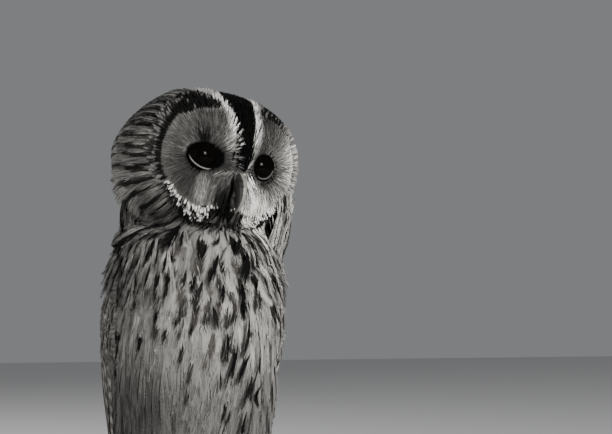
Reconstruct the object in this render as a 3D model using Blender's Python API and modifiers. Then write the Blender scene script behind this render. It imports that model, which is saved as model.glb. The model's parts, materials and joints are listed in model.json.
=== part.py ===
"""A tawny owl at life size, standing upright with its head turned to its left.

The body faces -Y and the floor is z = 0. Lengths are in metres. The solids give the outline out to the
tips of the feathers. The owl is modelled in its own frame, and an empty then sets the whole bird down with
the middle of its footprint at the origin.
"""

import math

import bmesh
import bpy
import numpy as np
from mathutils import Matrix, Vector

GAP = 0.0004  # clearance between neighbouring solids
CUT_GAP = 0.0003  # width of the thin cuts that part one form into two
SIDES = {"left": 1.0, "right": -1.0}

# The head has its own frame: centre of the skull, -Y out through the bill, +X to the owl's left.
HEAD_AT = Vector((0.0055, 0.001, 0.288))
HEAD_TURN = math.radians(18)  # to the owl's left
HEAD_ROLL = math.radians(9.8)  # left side down
HEAD_NOD = math.radians(0)  # bill down
HEAD_HALF_WIDTH = 0.060
HEAD_FRONT, HEAD_BACK = 0.0455, 0.055
HEAD_UP, HEAD_DOWN = 0.0455, 0.048
HEAD_SQUARENESS = 2.25  # 2 is an ellipsoid, more is boxier
HEAD_MESH = (36, 22)

# Facial discs: an oval dish round each eye, with a raised rim.
EYE_ACROSS, EYE_FORWARD, EYE_RADIUS = 0.0207, 0.0272, 0.0118
DISC_ACROSS, DISC_BELOW = 0.0250, 0.005
DISC_HALF_WIDTH, DISC_HALF_HEIGHT = 0.0295, 0.0365
DISC_DEPTH, RIM_HEIGHT, RIM_SPREAD = 0.0080, 0.0010, 0.13

# The trunk and the hang of the wings: height, place of the widest point, half width, depth before and behind.
TRUNK_STATIONS = np.array([
    (0.0580, 0.041, 0.0240, 0.030, 0.028),
    (0.0750, 0.034, 0.0320, 0.043, 0.040),
    (0.0950, 0.026, 0.0395, 0.053, 0.050),
    (0.1200, 0.018, 0.0465, 0.060, 0.054),
    (0.1500, 0.012, 0.0515, 0.063, 0.054),
    (0.1800, 0.008, 0.0535, 0.060, 0.052),
    (0.2050, 0.005, 0.0530, 0.055, 0.049),
    (0.2300, 0.003, 0.0500, 0.047, 0.045),
    (0.2500, 0.003, 0.0445, 0.041, 0.042),
    (0.2620, 0.003, 0.0370, 0.035, 0.036),
])
WING_STATIONS = np.array([  # the trunk's outline, carried on down and back to the wing tips
    (0.0280, 0.088, 0.0330, 0.030, 0.045),
    (0.0600, 0.066, 0.0400, 0.034, 0.044),
    (0.0850, 0.047, 0.0435, 0.040, 0.046),
    (0.1000, 0.036, 0.0450, 0.045, 0.049),
    (0.1250, 0.021, 0.0480, 0.055, 0.053),
    *TRUNK_STATIONS[4:],
])
TRUNK_MESH = (30, 20)
TRUNK_END_ROUNDING = 0.026
NECK_HEIGHT = 0.226

# Folded wings: angle round the body from its side (0) to the middle of its back (90 degrees).
WING_TOP, WING_TIP = 0.228, 0.030
WING_THICKNESS, WING_EDGE = 0.0125, 0.0022
WING_OUT = 0.0008  # its middle layer lies this far outside the trunk, which is then cut from it
WING_FRONT = [(0.030, 58), (0.06, 42), (0.085, 25), (0.11, 11), (0.14, 1), (0.18, -7), (0.21, -11), (0.228, -6)]
WING_BACK = [(0.030, 84), (0.06, 85), (0.11, 84), (0.14, 80), (0.18, 68), (0.21, 52), (0.228, 36)]
WING_MESH = (8, 18)
WING_SPLIT = 0.096  # the arm with its coverts above, the flight feathers' ends below

TAIL_ROOT, TAIL_LENGTH, TAIL_SLOPE = Vector((0, 0.056, 0.110)), 0.138, math.radians(40)
TAIL_ROOT_HALF_WIDTH, TAIL_TIP_HALF_WIDTH = 0.015, 0.028
TAIL_THICKNESS, TAIL_ARCH, TAIL_ROUNDING = 0.0045, 0.006, 0.009

# Legs and feet, for the left side.
THIGH_TOP, HOCK, FOOT = Vector((0.022, 0.014, 0.098)), Vector((0.0275, 0.037, 0.046)), Vector((0.029, 0.022, 0))
LEG_RADII = ((0.0, 0.012), (0.14, 0.0195), (0.38, 0.0185), (0.6, 0.0130), (0.8, 0.0100), (1.0, 0.0092))
LEG_SPLIT = 0.050
PAD_RADIUS, PAD_HEIGHT = 0.0098, 0.0062
TOES = {  # bearing out from straight ahead in degrees, length from the middle of the foot
    "inner_toe": (-20, 0.031),
    "middle_toe": (16, 0.036),
    "outer_toe": (98, 0.029),
    "hind_toe": (176, 0.024),
}
TOE_RADIUS, TOE_TIP_RADIUS, TOE_TIP_HEIGHT = 0.0052, 0.0042, 0.0078
CLAW_LENGTH, CLAW_RADIUS, CLAW_POINT = 0.0165, 0.0027, 0.0004
CLAW_RISE, CLAW_FALL = math.radians(20), math.radians(-68)

# Bill, in the head's frame: forward of the skull's centre and below the eyes.
CULMEN = ((0.0425, -0.0115), (0.0480, -0.0165), (0.0496, -0.0225), (0.0484, -0.0282), (0.0450, -0.0326))
CULMEN_RADII = (0.0056, 0.0056, 0.0045, 0.0028, 0.0006)
LOWER_BILL = ((0.0385, -0.0235), (0.0410, -0.0268), (0.0418, -0.0300))
LOWER_BILL_RADII = (0.0055, 0.0040, 0.0012)
BILL_NARROWNESS = 0.84

COLOURS = {  # base colour, roughness
    "plumage": ((0.34, 0.31, 0.28), 0.85),
    "breast": ((0.52, 0.49, 0.45), 0.85),
    "legs": ((0.48, 0.45, 0.41), 0.85),
    "eye": ((0.012, 0.009, 0.008), 0.08),
    "bill": ((0.36, 0.34, 0.27), 0.35),
    "claw": ((0.05, 0.045, 0.04), 0.35),
}


# ---------------------------------------------------------------- scene and helpers
def clear_scene():
    for thing in list(bpy.data.objects):
        bpy.data.objects.remove(thing)


def new_collection(name):
    made = bpy.data.collections.new(name)
    bpy.context.scene.collection.children.link(made)
    return made


def material(name):
    """A Principled material in the part's colour, made once."""
    if name in bpy.data.materials:
        return bpy.data.materials[name]
    colour, roughness = COLOURS[name]
    made = bpy.data.materials.new(name)
    made.use_nodes = True
    shader = made.node_tree.nodes["Principled BSDF"]
    shader.inputs["Base Color"].default_value = (*colour, 1)
    shader.inputs["Roughness"].default_value = roughness
    shader.inputs["Metallic"].default_value = 0
    return made


def add_object(name, mesh, finish):
    thing = bpy.data.objects.new(name, mesh)
    OWL.objects.link(thing)
    mesh.materials.clear()
    mesh.materials.append(material(finish))
    mesh.shade_smooth()
    return thing


def mesh_from(name, bm):
    bmesh.ops.recalc_face_normals(bm, faces=bm.faces)
    mesh = bpy.data.meshes.new(name)
    bm.to_mesh(mesh)
    bm.free()
    return mesh


def smooth_curve(stations, at):
    """A smooth curve through stations, whose first column is the place. It returns the other columns at `at`."""
    stations = np.asarray(stations, float)
    places, values = stations[:, 0], stations[:, 1:]
    slopes = np.gradient(values, places, axis=0)
    at = np.clip(at, places[0], places[-1])
    i = int(np.clip(np.searchsorted(places, at) - 1, 0, len(places) - 2))
    width = places[i + 1] - places[i]
    t = (at - places[i]) / width
    ease = t * t * (3 - 2 * t)
    lead, tail = t * (1 - t) ** 2 * width, t * t * (t - 1) * width
    return values[i] * (1 - ease) + values[i + 1] * ease + slopes[i] * lead + slopes[i + 1] * tail


def smooth_step(low, high, value):
    t = min(1.0, max(0.0, (value - low) / (high - low)))
    return t * t * (3 - 2 * t)


def shaped_sphere(name, sizes, shape):
    """A sphere primitive whose every vertex is moved by shape(its place on the unit sphere)."""
    bm = bmesh.new()
    bmesh.ops.create_uvsphere(bm, u_segments=sizes[0], v_segments=sizes[1], radius=1)
    for vert in bm.verts:
        vert.co = shape(vert.co.copy())
    return mesh_from(name, bm)


def half_of(mesh, name, at, normal):
    """The part of a closed mesh on the side of the plane that normal points to, closed again at the cut."""
    bm = bmesh.new()
    bm.from_mesh(mesh)
    geometry = [*bm.verts, *bm.edges, *bm.faces]
    cut = bmesh.ops.bisect_plane(bm, geom=geometry, plane_co=at, plane_no=normal, clear_inner=True)
    edges = [e for e in cut["geom_cut"] if isinstance(e, bmesh.types.BMEdge)]
    bmesh.ops.holes_fill(bm, edges=edges, sides=0)
    bmesh.ops.triangulate(bm, faces=[f for f in bm.faces if len(f.verts) > 4])
    return mesh_from(name, bm)


def parted(mesh, names, at, normal):
    """Two meshes from one, parted by a thin cut: the side that normal points to, then the other."""
    normal = Vector(normal).normalized()
    shift = normal * CUT_GAP / 2
    return half_of(mesh, names[0], at + shift, normal), half_of(mesh, names[1], at - shift, -normal)


def cutter_of(mesh, name, grow=GAP):
    """A hidden copy of a mesh, grown by the clearance, that cuts its neighbours."""
    grown = mesh.copy()
    normals = [v.normal.copy() for v in grown.vertices]
    for vert, normal in zip(grown.vertices, normals, strict=True):
        vert.co += normal * grow
    cutter = bpy.data.objects.new(name, grown)
    CUTTERS.objects.link(cutter)
    cutter.hide_render = True
    cutter.display_type = "WIRE"
    return cutter


def cut_away(thing, cutter):
    boolean = thing.modifiers.new("clear of " + cutter.name, "BOOLEAN")
    boolean.operation = "DIFFERENCE"
    boolean.object = cutter


def tube(name, points, radii, roundness=2):
    """A tube mesh with filled caps along points, as thick at each as radii says."""
    curve = bpy.data.curves.new(name, "CURVE")
    curve.dimensions = "3D"
    curve.bevel_depth = 1
    curve.bevel_resolution = roundness
    curve.use_fill_caps = True
    spline = curve.splines.new("POLY")
    spline.points.add(len(points) - 1)
    for knot, point, radius in zip(spline.points, points, radii, strict=True):
        knot.co = (*point, 1)
        knot.radius = radius
    guide = bpy.data.objects.new(name, curve)
    OWL.objects.link(guide)
    bpy.context.view_layer.update()
    seen = guide.evaluated_get(bpy.context.evaluated_depsgraph_get())
    bm = bmesh.new()
    bm.from_mesh(bpy.data.meshes.new_from_object(seen))
    bpy.data.objects.remove(guide)
    bpy.data.curves.remove(curve)
    bmesh.ops.remove_doubles(bm, verts=bm.verts, dist=1e-5)
    return mesh_from(name, bm)


def eased_line(points, count):
    """`count` places along a smooth line through a few points."""
    rows = [(i, *p) for i, p in enumerate(points)]
    return [Vector(smooth_curve(rows, t)) for t in np.linspace(0, len(points) - 1, count)]


def mirrored(point, side):
    return Vector((point[0] * side, point[1], point[2]))


# ---------------------------------------------------------------- head
def head_matrix():
    return (
        Matrix.Translation(HEAD_AT)
        @ Matrix.Rotation(HEAD_TURN, 4, "Z")
        @ Matrix.Rotation(HEAD_ROLL, 4, "Y")
        @ Matrix.Rotation(HEAD_NOD, 4, "X")
    )


def disc_distance(across, height):
    """0 at the middle of the nearer facial disc, 1 at its edge."""
    return math.hypot((abs(across) - DISC_ACROSS) / DISC_HALF_WIDTH, (height + DISC_BELOW) / DISC_HALF_HEIGHT)


def head_surface(unit):
    """Where a direction from the skull's centre meets the outline of the head's feathers."""
    depth = HEAD_FRONT if unit.y < 0 else HEAD_BACK
    height = HEAD_UP if unit.z > 0 else HEAD_DOWN
    n = HEAD_SQUARENESS
    reach = (
        (abs(unit.x) / HEAD_HALF_WIDTH) ** n + (abs(unit.y) / depth) ** n + (abs(unit.z) / height) ** n
    ) ** (-1 / n)
    place = unit * reach
    facing = smooth_step(0.15, 0.6, -unit.y)
    away = disc_distance(place.x, place.z)
    dish = DISC_DEPTH * (1 - smooth_step(0.0, 1.0, away))
    rim = RIM_HEIGHT * math.exp(-(((away - 1.0) / RIM_SPREAD) ** 2))
    place.y += facing * dish
    return place + unit * rim * smooth_step(-0.2, 0.3, -unit.y)


def build_head():
    head = add_object("head", shaped_sphere("head", HEAD_MESH, head_surface), "plumage")
    head.matrix_world = head_matrix()
    outline = cutter_of(head.data, "head_outline", 2 * GAP)
    outline.matrix_world = head_matrix()
    return head, outline


def build_eyes(head):
    for side_name, side in SIDES.items():
        name = "eye_" + side_name
        bm = bmesh.new()
        bmesh.ops.create_uvsphere(bm, u_segments=16, v_segments=10, radius=EYE_RADIUS)
        bmesh.ops.translate(bm, verts=bm.verts, vec=(side * EYE_ACROSS, -EYE_FORWARD, 0))
        eye = add_object(name, mesh_from(name, bm), "eye")
        eye.matrix_world = head_matrix()
        socket = cutter_of(eye.data, "socket_" + side_name)
        socket.matrix_world = head_matrix()
        cut_away(head, socket)


def build_bill(head_outline):
    upper_mesh = None
    for name, line, radii in (
        ("bill_upper", CULMEN, CULMEN_RADII),
        ("bill_lower", LOWER_BILL, LOWER_BILL_RADII),
    ):
        points = eased_line([(0, -forward, height) for forward, height in line], 2 * len(line))
        widths = [float(smooth_curve(list(enumerate(radii)), t)[0]) for t in
                  np.linspace(0, len(radii) - 1, len(points))]
        mesh = tube(name, points, widths, 3)
        mesh.transform(Matrix.Diagonal((BILL_NARROWNESS, 1, 1, 1)))
        bill = add_object(name, mesh, "bill")
        bill.matrix_world = head_matrix()
        cut_away(bill, head_outline)
        if upper_mesh is None:
            upper_mesh = mesh
        else:
            above = cutter_of(upper_mesh, "bill_gape")
            above.matrix_world = head_matrix()
            cut_away(bill, above)


# ---------------------------------------------------------------- trunk and neck
def trunk_surface(unit):
    """A place on the trunk, from the matching place on a unit sphere."""
    low, high = TRUNK_STATIONS[0, 0], TRUNK_STATIONS[-1, 0]
    z = low + (high - low) * (1 - math.acos(max(-1.0, min(1.0, unit.z))) / math.pi)
    middle, half_width, before, behind = smooth_curve(TRUNK_STATIONS, z)
    end = min(z - low, high - z) / TRUNK_END_ROUNDING
    closing = math.sqrt(max(0.0, 1 - max(0.0, 1 - end) ** 2))
    round_about = math.atan2(unit.y, unit.x)
    depth = behind if unit.y > 0 else before
    return Vector((
        half_width * closing * math.cos(round_about),
        middle + depth * closing * math.sin(round_about),
        z,
    ))


def build_trunk(head_outline):
    whole = shaped_sphere("trunk_and_neck", TRUNK_MESH, trunk_surface)
    neck_mesh, trunk_mesh = parted(whole, ("neck", "trunk"), Vector((0, 0, NECK_HEIGHT)), (0, 0, 1))
    trunk = add_object("trunk", trunk_mesh, "breast")
    neck = add_object("neck", neck_mesh, "plumage")
    cut_away(neck, head_outline)
    cut_away(trunk, head_outline)
    return cutter_of(whole, "trunk_outline")


# ---------------------------------------------------------------- wings and tail
def wing_point(across, down, side):
    """A place on the wing's middle layer. across runs from its front edge to its back one, down to its tip."""
    z = WING_TOP + (WING_TIP - WING_TOP) * down
    middle, half_width, before, behind = smooth_curve(WING_STATIONS, z)
    front = float(smooth_curve(WING_FRONT, z)[0])
    back = float(smooth_curve(WING_BACK, z)[0])
    angle = math.radians(front + (back - front) * across)
    depth = behind if angle > 0 else before
    out = WING_OUT
    return Vector((
        side * (half_width + out) * math.cos(angle),
        middle + (depth + out) * math.sin(angle),
        z,
    ))


def wing_fullness(across, down):
    """1 in the middle of the wing, 0 along its edges."""
    round_off = 1 - (2 * across - 1) ** 4
    ends = smooth_step(0, 0.22, down) * (1 - 0.72 * smooth_step(0.35, 1.0, down))
    return max(0.0, round_off * ends)


def shell(name, sizes, place, fullness, thickness, edge, offset, outward):
    """A grid laid out by place(across, down), thickened most where fullness is 1. Offset 1 is all outwards."""
    bm = bmesh.new()
    bmesh.ops.create_grid(bm, x_segments=sizes[0], y_segments=sizes[1], size=0.5)
    spots = [(v.co.x + 0.5, v.co.y + 0.5) for v in bm.verts]
    for vert, spot in zip(bm.verts, spots, strict=True):
        vert.co = place(*spot)
    bm.normal_update()
    if sum(f.normal.dot(outward(f.calc_center_median())) for f in bm.faces) < 0:
        bmesh.ops.reverse_faces(bm, faces=bm.faces)
    mesh = bpy.data.meshes.new(name)
    bm.to_mesh(mesh)
    bm.free()
    made = add_object(name, mesh, "plumage")
    group = made.vertex_groups.new(name="fullness")
    for i, spot in enumerate(spots):
        group.add([i], max(fullness(*spot), 0.001), "REPLACE")
    solid = made.modifiers.new("thickness", "SOLIDIFY")
    solid.thickness = thickness
    solid.offset = offset
    solid.vertex_group = "fullness"
    solid.thickness_vertex_group = edge / thickness
    bpy.context.view_layer.update()
    seen = made.evaluated_get(bpy.context.evaluated_depsgraph_get())
    solid_mesh = bpy.data.meshes.new_from_object(seen)
    bpy.data.objects.remove(made)
    return solid_mesh


def build_wings(outlines):
    for side_name, side in SIDES.items():
        whole = shell(
            "wing", WING_MESH,
            lambda across, down, side=side: wing_point(across, down, side),
            wing_fullness, WING_THICKNESS, WING_EDGE, 0,
            lambda at, side=side: Vector((at.x, at.y - 0.03, 0)),
        )
        names = ("wing_" + side_name, "primaries_" + side_name)
        meshes = parted(whole, names, Vector((0, 0, WING_SPLIT)), (0, 0, 1))
        for name, mesh in zip(names, meshes, strict=True):
            part = add_object(name, mesh, "plumage")
            for outline in outlines:
                cut_away(part, outline)


def tail_point(across, down):
    """A place on the underside of the fan: a shallow arch that widens to a rounded end."""
    spread = 2 * across - 1
    half_width = TAIL_ROOT_HALF_WIDTH + (TAIL_TIP_HALF_WIDTH - TAIL_ROOT_HALF_WIDTH) * down
    length = down * (TAIL_LENGTH - TAIL_ROUNDING * spread * spread)
    arch = TAIL_ARCH * spread * spread
    along = Vector((0, math.sin(TAIL_SLOPE), -math.cos(TAIL_SLOPE)))
    upward = Vector((0, math.cos(TAIL_SLOPE), math.sin(TAIL_SLOPE)))
    return TAIL_ROOT + along * length - upward * arch + Vector((spread * half_width, 0, 0))


def build_tail(trunk_cutter):
    mesh = shell(
        "tail", (6, 10), tail_point, lambda across, down: 1 - 0.6 * down,
        TAIL_THICKNESS, 0.0012, 1, lambda at: Vector((0, 1, 0.4)),
    )
    tail = add_object("tail", mesh, "plumage")
    cut_away(tail, trunk_cutter)
    return cutter_of(mesh, "tail_outline")


# ---------------------------------------------------------------- legs and feet
def build_leg(side_name, side, trunk_cutter):
    ankle = FOOT + Vector((0, 0, PAD_HEIGHT))
    line = [mirrored(p, side) for p in eased_line([THIGH_TOP, HOCK, ankle], 13)]
    radii = [float(smooth_curve(LEG_RADII, t)[0]) for t in np.linspace(0, 1, len(line))]
    whole = tube("leg", line, radii, 3)
    nearest = min(line, key=lambda p: abs(p.z - LEG_SPLIT))
    thigh_mesh, tarsus_mesh = parted(whole, ("thigh", "tarsus"), nearest, (0, 0.2, 1))
    thigh = add_object("thigh_" + side_name, thigh_mesh, "legs")
    cut_away(thigh, trunk_cutter)

    pad = shaped_sphere("pad", (16, 8), lambda unit: unit * PAD_RADIUS)
    pad.transform(Matrix.Translation(mirrored(FOOT, side) + Vector((0, 0, PAD_HEIGHT))))
    pad = half_of(pad, "foot_" + side_name, Vector((0, 0, 0)), Vector((0, 0, 1)))
    foot = add_object("foot_" + side_name, pad, "legs")
    pad_cutter = cutter_of(pad, "pad_outline_" + side_name)
    tarsus = add_object("tarsus_" + side_name, tarsus_mesh, "legs")
    cut_away(tarsus, pad_cutter)
    build_toes(side_name, side, pad_cutter, tarsus_mesh)
    return foot


def build_toes(side_name, side, pad_cutter, tarsus_mesh):
    cutters = [pad_cutter, cutter_of(tarsus_mesh, "tarsus_outline_" + side_name)]
    for toe_name, (bearing, length) in TOES.items():
        angle = math.radians(bearing)
        ahead = Vector((side * math.sin(angle), -math.cos(angle), 0))
        start = mirrored(FOOT, side)
        steps = np.linspace(0, 1, 8)
        line = [
            start + ahead * length * t + Vector((0, 0, TOE_RADIUS * 0.9 + (TOE_TIP_HEIGHT - TOE_RADIUS * 0.9) * t**3))
            for t in steps
        ]
        knuckles = [1 + 0.09 * math.sin(3 * math.pi * t) ** 2 for t in steps]
        radii = [(TOE_RADIUS + (TOE_TIP_RADIUS - TOE_RADIUS) * t) * k for t, k in zip(steps, knuckles, strict=True)]
        toe_mesh = half_of(tube("toe", line, radii, 2), "toe", Vector((0, 0, 0)), Vector((0, 0, 1)))
        toe = add_object(f"{toe_name}_{side_name}", toe_mesh, "legs")
        for cutter in cutters:
            cut_away(toe, cutter)
        toe_cutter = cutter_of(toe_mesh, f"{toe_name}_outline_{side_name}")
        cutters.append(toe_cutter)

        begin = line[-1] + ahead * (GAP + 0.0002)
        claw_line = [begin]
        steps = 6
        for i in range(steps):
            heading = CLAW_RISE + (CLAW_FALL - CLAW_RISE) * (i + 0.5) / steps
            step = ahead * math.cos(heading) + Vector((0, 0, math.sin(heading)))
            claw_line.append(claw_line[-1] + step * CLAW_LENGTH / steps)
        taper = [CLAW_RADIUS + (CLAW_POINT - CLAW_RADIUS) * (i / steps) ** 1.3 for i in range(steps + 1)]
        claw = add_object(f"{toe_name[:-4]}_claw_{side_name}", tube("claw", claw_line, taper, 1), "claw")
        cut_away(claw, toe_cutter)


# ---------------------------------------------------------------- the whole bird
def set_down():
    """Parents every solid and cutter to an empty that puts the middle of the footprint at the origin."""
    bpy.context.view_layer.update()
    graph = bpy.context.evaluated_depsgraph_get()
    corners = []
    for thing in OWL.objects:
        seen = thing.evaluated_get(graph)
        corners += [seen.matrix_world @ v.co for v in seen.data.vertices]
    low = Vector(min(c[i] for c in corners) for i in range(3))
    high = Vector(max(c[i] for c in corners) for i in range(3))
    stance = bpy.data.objects.new("stance", None)
    OWL.objects.link(stance)
    for thing in [*OWL.objects, *CUTTERS.objects]:
        if thing is not stance:
            thing.parent = stance
    middle = (low + high) / 2
    stance.location = (-middle.x, -middle.y, -low.z)


clear_scene()
OWL = new_collection("tawny_owl")
CUTTERS = new_collection("cutters")
CUTTERS.hide_render = True

head_solid, head_outline = build_head()
trunk_outline = build_trunk(head_outline)
build_bill(head_outline)
build_eyes(head_solid)
tail_outline = build_tail(trunk_outline)
build_wings((trunk_outline, tail_outline))
for leg_name, leg_side in SIDES.items():
    build_leg(leg_name, leg_side, trunk_outline)
set_down()
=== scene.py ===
# %% [markdown]
# # A tawny owl
#
# A tawny owl of the grey form stands upright at life size, its round head turned to its left. The solids
# of the frame give its outline to the tips of the feathers. Here one skin is grown inside them, and
# feathers are laid over it row by row, each a vane of separate barbs. The tawny owl's grey form is
# nearly without red, so the colours are warm greys from white to near black.

import json
import math
from functools import partial

import bpy
import numpy as np
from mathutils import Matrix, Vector
from mathutils.bvhtree import BVHTree
from mathutils.kdtree import KDTree

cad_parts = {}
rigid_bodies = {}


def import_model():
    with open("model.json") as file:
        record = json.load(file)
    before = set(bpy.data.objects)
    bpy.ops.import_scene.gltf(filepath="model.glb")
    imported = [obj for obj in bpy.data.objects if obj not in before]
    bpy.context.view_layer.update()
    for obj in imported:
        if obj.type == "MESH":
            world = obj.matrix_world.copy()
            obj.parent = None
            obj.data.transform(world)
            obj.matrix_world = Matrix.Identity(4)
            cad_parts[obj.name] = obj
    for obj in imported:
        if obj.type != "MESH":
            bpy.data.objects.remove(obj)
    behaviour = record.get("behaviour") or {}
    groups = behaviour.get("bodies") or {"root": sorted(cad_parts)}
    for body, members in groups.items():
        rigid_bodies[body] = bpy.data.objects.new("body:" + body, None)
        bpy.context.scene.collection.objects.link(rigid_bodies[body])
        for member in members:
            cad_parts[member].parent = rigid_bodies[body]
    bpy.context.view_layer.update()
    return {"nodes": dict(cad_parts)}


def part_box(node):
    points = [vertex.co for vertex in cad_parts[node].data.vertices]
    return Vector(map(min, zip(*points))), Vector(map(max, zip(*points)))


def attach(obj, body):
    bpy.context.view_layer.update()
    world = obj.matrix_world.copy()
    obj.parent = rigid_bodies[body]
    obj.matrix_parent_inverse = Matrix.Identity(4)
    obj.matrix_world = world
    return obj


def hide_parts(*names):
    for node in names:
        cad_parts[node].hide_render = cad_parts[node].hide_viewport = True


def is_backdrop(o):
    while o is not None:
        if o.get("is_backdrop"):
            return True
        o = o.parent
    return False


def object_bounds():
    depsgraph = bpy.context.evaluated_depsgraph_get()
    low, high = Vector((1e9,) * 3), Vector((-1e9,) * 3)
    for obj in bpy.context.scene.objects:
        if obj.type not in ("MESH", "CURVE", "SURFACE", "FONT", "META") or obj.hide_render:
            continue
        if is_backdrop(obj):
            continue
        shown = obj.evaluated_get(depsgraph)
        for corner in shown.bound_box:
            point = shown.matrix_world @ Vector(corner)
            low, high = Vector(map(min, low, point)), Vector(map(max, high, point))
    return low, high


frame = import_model()
NODES = frame["nodes"]
rng = np.random.default_rng(7)

# %% [markdown]
# ## The head's own axes
#
# The markings of an owl's face are laid out on its face, so the head needs its own axes: x to the owl's
# left, y backwards, z up, with the origin at the middle of the skull. The two eyeballs give the line
# across the head, and the turn of the head gives the way it looks.

# %% Head axes
HEAD_TURN = math.radians(18)
EYE_ACROSS, EYE_FORWARD, EYE_RADIUS = 0.0207, 0.0272, 0.0118
DISC_ACROSS, DISC_BELOW, DISC_HALF_WIDTH, DISC_HALF_HEIGHT = 0.0250, 0.005, 0.0295, 0.0365


def middle_of(node):
    """The middle of a solid's box."""
    low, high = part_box(node)
    return (Vector(low) + Vector(high)) / 2


eye_at = {side: middle_of("eye_" + side) for side in ("left", "right")}
SIDES = (("left", 1), ("right", -1))
ahead = Vector((math.sin(HEAD_TURN), -math.cos(HEAD_TURN), 0))
head_x = (eye_at["left"] - eye_at["right"]).normalized()
head_y = -ahead
head_z = head_x.cross(head_y)
HEAD_ORIGIN = np.array((eye_at["left"] + eye_at["right"]) / 2 - ahead * EYE_FORWARD)
HEAD_AXES = np.array([head_x, head_y, head_z])


def to_head(points):
    """World places in the head's own axes."""
    return (np.asarray(points) - HEAD_ORIGIN) @ HEAD_AXES.T


def from_head(vectors):
    """Directions in the head's axes, as world directions."""
    return np.asarray(vectors) @ HEAD_AXES


print("skull at", HEAD_ORIGIN.round(4), "roll", round(math.degrees(math.asin(-head_x.z)), 1))

# %% [markdown]
# ## The skin
#
# Under its feathers an owl is one smooth body. Copies of the flesh solids are grown by half a millimetre so
# that they meet, joined, and wrapped in one even surface with a Remesh modifier. Displace modifiers then
# draw that surface in by the depth of the coat: deep on the breast and neck, shallow on the face, the wings
# and the feet. Sculpting over the solids would give the same skin, but not the same depth everywhere.

# %% Join copies of the flesh
SKIN_GROW, SKIN_VOXEL = 0.0005, 0.0017
FLESH = sorted(n for n in NODES if n.startswith(("head", "neck", "trunk", "wing", "thigh", "tarsus", "foot"))
               or "_toe_" in n)


def only(thing):
    """Selects one object, as a click would."""
    bpy.ops.object.select_all(action="DESELECT")
    thing.select_set(True)
    bpy.context.view_layer.objects.active = thing


def edit_all(thing, *actions):
    """Does these things to the whole mesh in edit mode."""
    only(thing)
    bpy.ops.object.mode_set(mode="EDIT")
    bpy.ops.mesh.select_all(action="SELECT")
    for action in actions:
        action()
    bpy.ops.object.mode_set(mode="OBJECT")


def copy_of(node, name):
    """A copy of a solid as a new object, with its vertices welded."""
    made = bpy.data.objects.new(name, NODES[node].data.copy())
    bpy.context.collection.objects.link(made)
    made.data.materials.clear()
    edit_all(made, lambda: bpy.ops.mesh.remove_doubles(threshold=1e-6), bpy.ops.mesh.normals_make_consistent)
    return made


def join(things, name):
    """Joins objects into the first of them."""
    only(things[0])
    for thing in things:
        thing.select_set(True)
    bpy.ops.object.join()
    things[0].name = name
    return things[0]


def modify(thing, kind, **settings):
    """Adds a modifier with these settings and applies it."""
    only(thing)
    bpy.ops.object.modifier_add(type=kind)
    made = thing.modifiers[-1]
    for key, value in settings.items():
        setattr(made, key, value)
    bpy.ops.object.modifier_apply(modifier=made.name)


skin = join([copy_of(n, "copy of " + n) for n in [*FLESH, "eye_left", "eye_right"]], "skin")
modify(skin, "DISPLACE", strength=SKIN_GROW, mid_level=0)
modify(skin, "REMESH", mode="VOXEL", voxel_size=SKIN_VOXEL)
modify(skin, "SMOOTH", factor=0.5, iterations=5)
print("skin:", len(skin.data.polygons), "faces")

# %% [markdown]
# A tawny owl's coat is deepest on the breast and the neck, where it hides the real outline of the body, and
# thinnest on the toes. Each vertex takes its depth from the solid that it lies nearest to, the depths are
# evened over the mesh so that no step shows between two solids, and a vertex group hands them to a Displace
# modifier. Drawing in by small steps with a little smoothing between them keeps hollows from folding over.

# %% Draw the skin in by the depth of the coat
COAT_DEPTH = {"head": 0.0038, "neck": 0.0052, "trunk": 0.0056, "wing": 0.0018, "thigh": 0.0040,
              "tarsus": 0.0026, "foot": 0.0014, "toe": 0.0009, "eye": 0.0022}
FACE_DEPTH = 0.0024
DRAW_STEPS = 4


def column(mesh_part, key):
    """A property of a mesh with three values for each element, as rows of an array."""
    out = np.empty(len(mesh_part) * 3, np.float32)
    mesh_part.foreach_get(key, out)
    return out.reshape(-1, 3).astype(float)


def move_to(thing, places):
    """Gives the mesh's vertices these places."""
    thing.data.vertices.foreach_set("co", places.astype(np.float32).ravel())
    thing.data.update()


def tree_of(thing):
    """A search tree of an object's faces."""
    mesh = thing.data
    return BVHTree.FromPolygons([v.co for v in mesh.vertices], [p.vertices[:] for p in mesh.polygons])


def kind_of(node):
    """The part of the body that a solid belongs to."""
    for kind in ("toe", "foot", "tarsus", "thigh", "wing", "neck", "head", "eye", "trunk"):
        if kind in node:
            return kind
    return "trunk"


def nearest_solid(points, reach=0.02):
    """The name of the solid nearest to each point."""
    names = []
    boxes = {n: [np.array(b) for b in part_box(n)] for n in solid_trees}
    for point in points:
        best, best_name = reach, "trunk"
        for name, tree in solid_trees.items():
            low, high = boxes[name]
            if np.any(point < low - best) or np.any(point > high + best):
                continue
            hit = tree.find_nearest(point, best)
            if hit[0] is not None and hit[3] < best:
                best, best_name = hit[3], name
        names.append(best_name)
    return names


def neighbours(mesh):
    """The two vertices of every edge."""
    edges = np.empty(len(mesh.edges) * 2, np.int32)
    mesh.edges.foreach_get("vertices", edges)
    return edges.reshape(-1, 2)


def evened(values, edges, rounds):
    """Values spread over the mesh: each round, every vertex takes its neighbours' mean."""
    count = np.bincount(edges.ravel(), minlength=len(values)).clip(1)
    for _ in range(rounds):
        total = np.bincount(edges[:, 0], values[edges[:, 1]], len(values))
        total += np.bincount(edges[:, 1], values[edges[:, 0]], len(values))
        values = 0.5 * values + 0.5 * total / count
    return values


def step(low, high, value):
    """0 below low, 1 above high, smooth between them."""
    t = np.clip((np.asarray(value, float) - low) / (high - low), 0, 1)
    return t * t * (3 - 2 * t)


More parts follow.
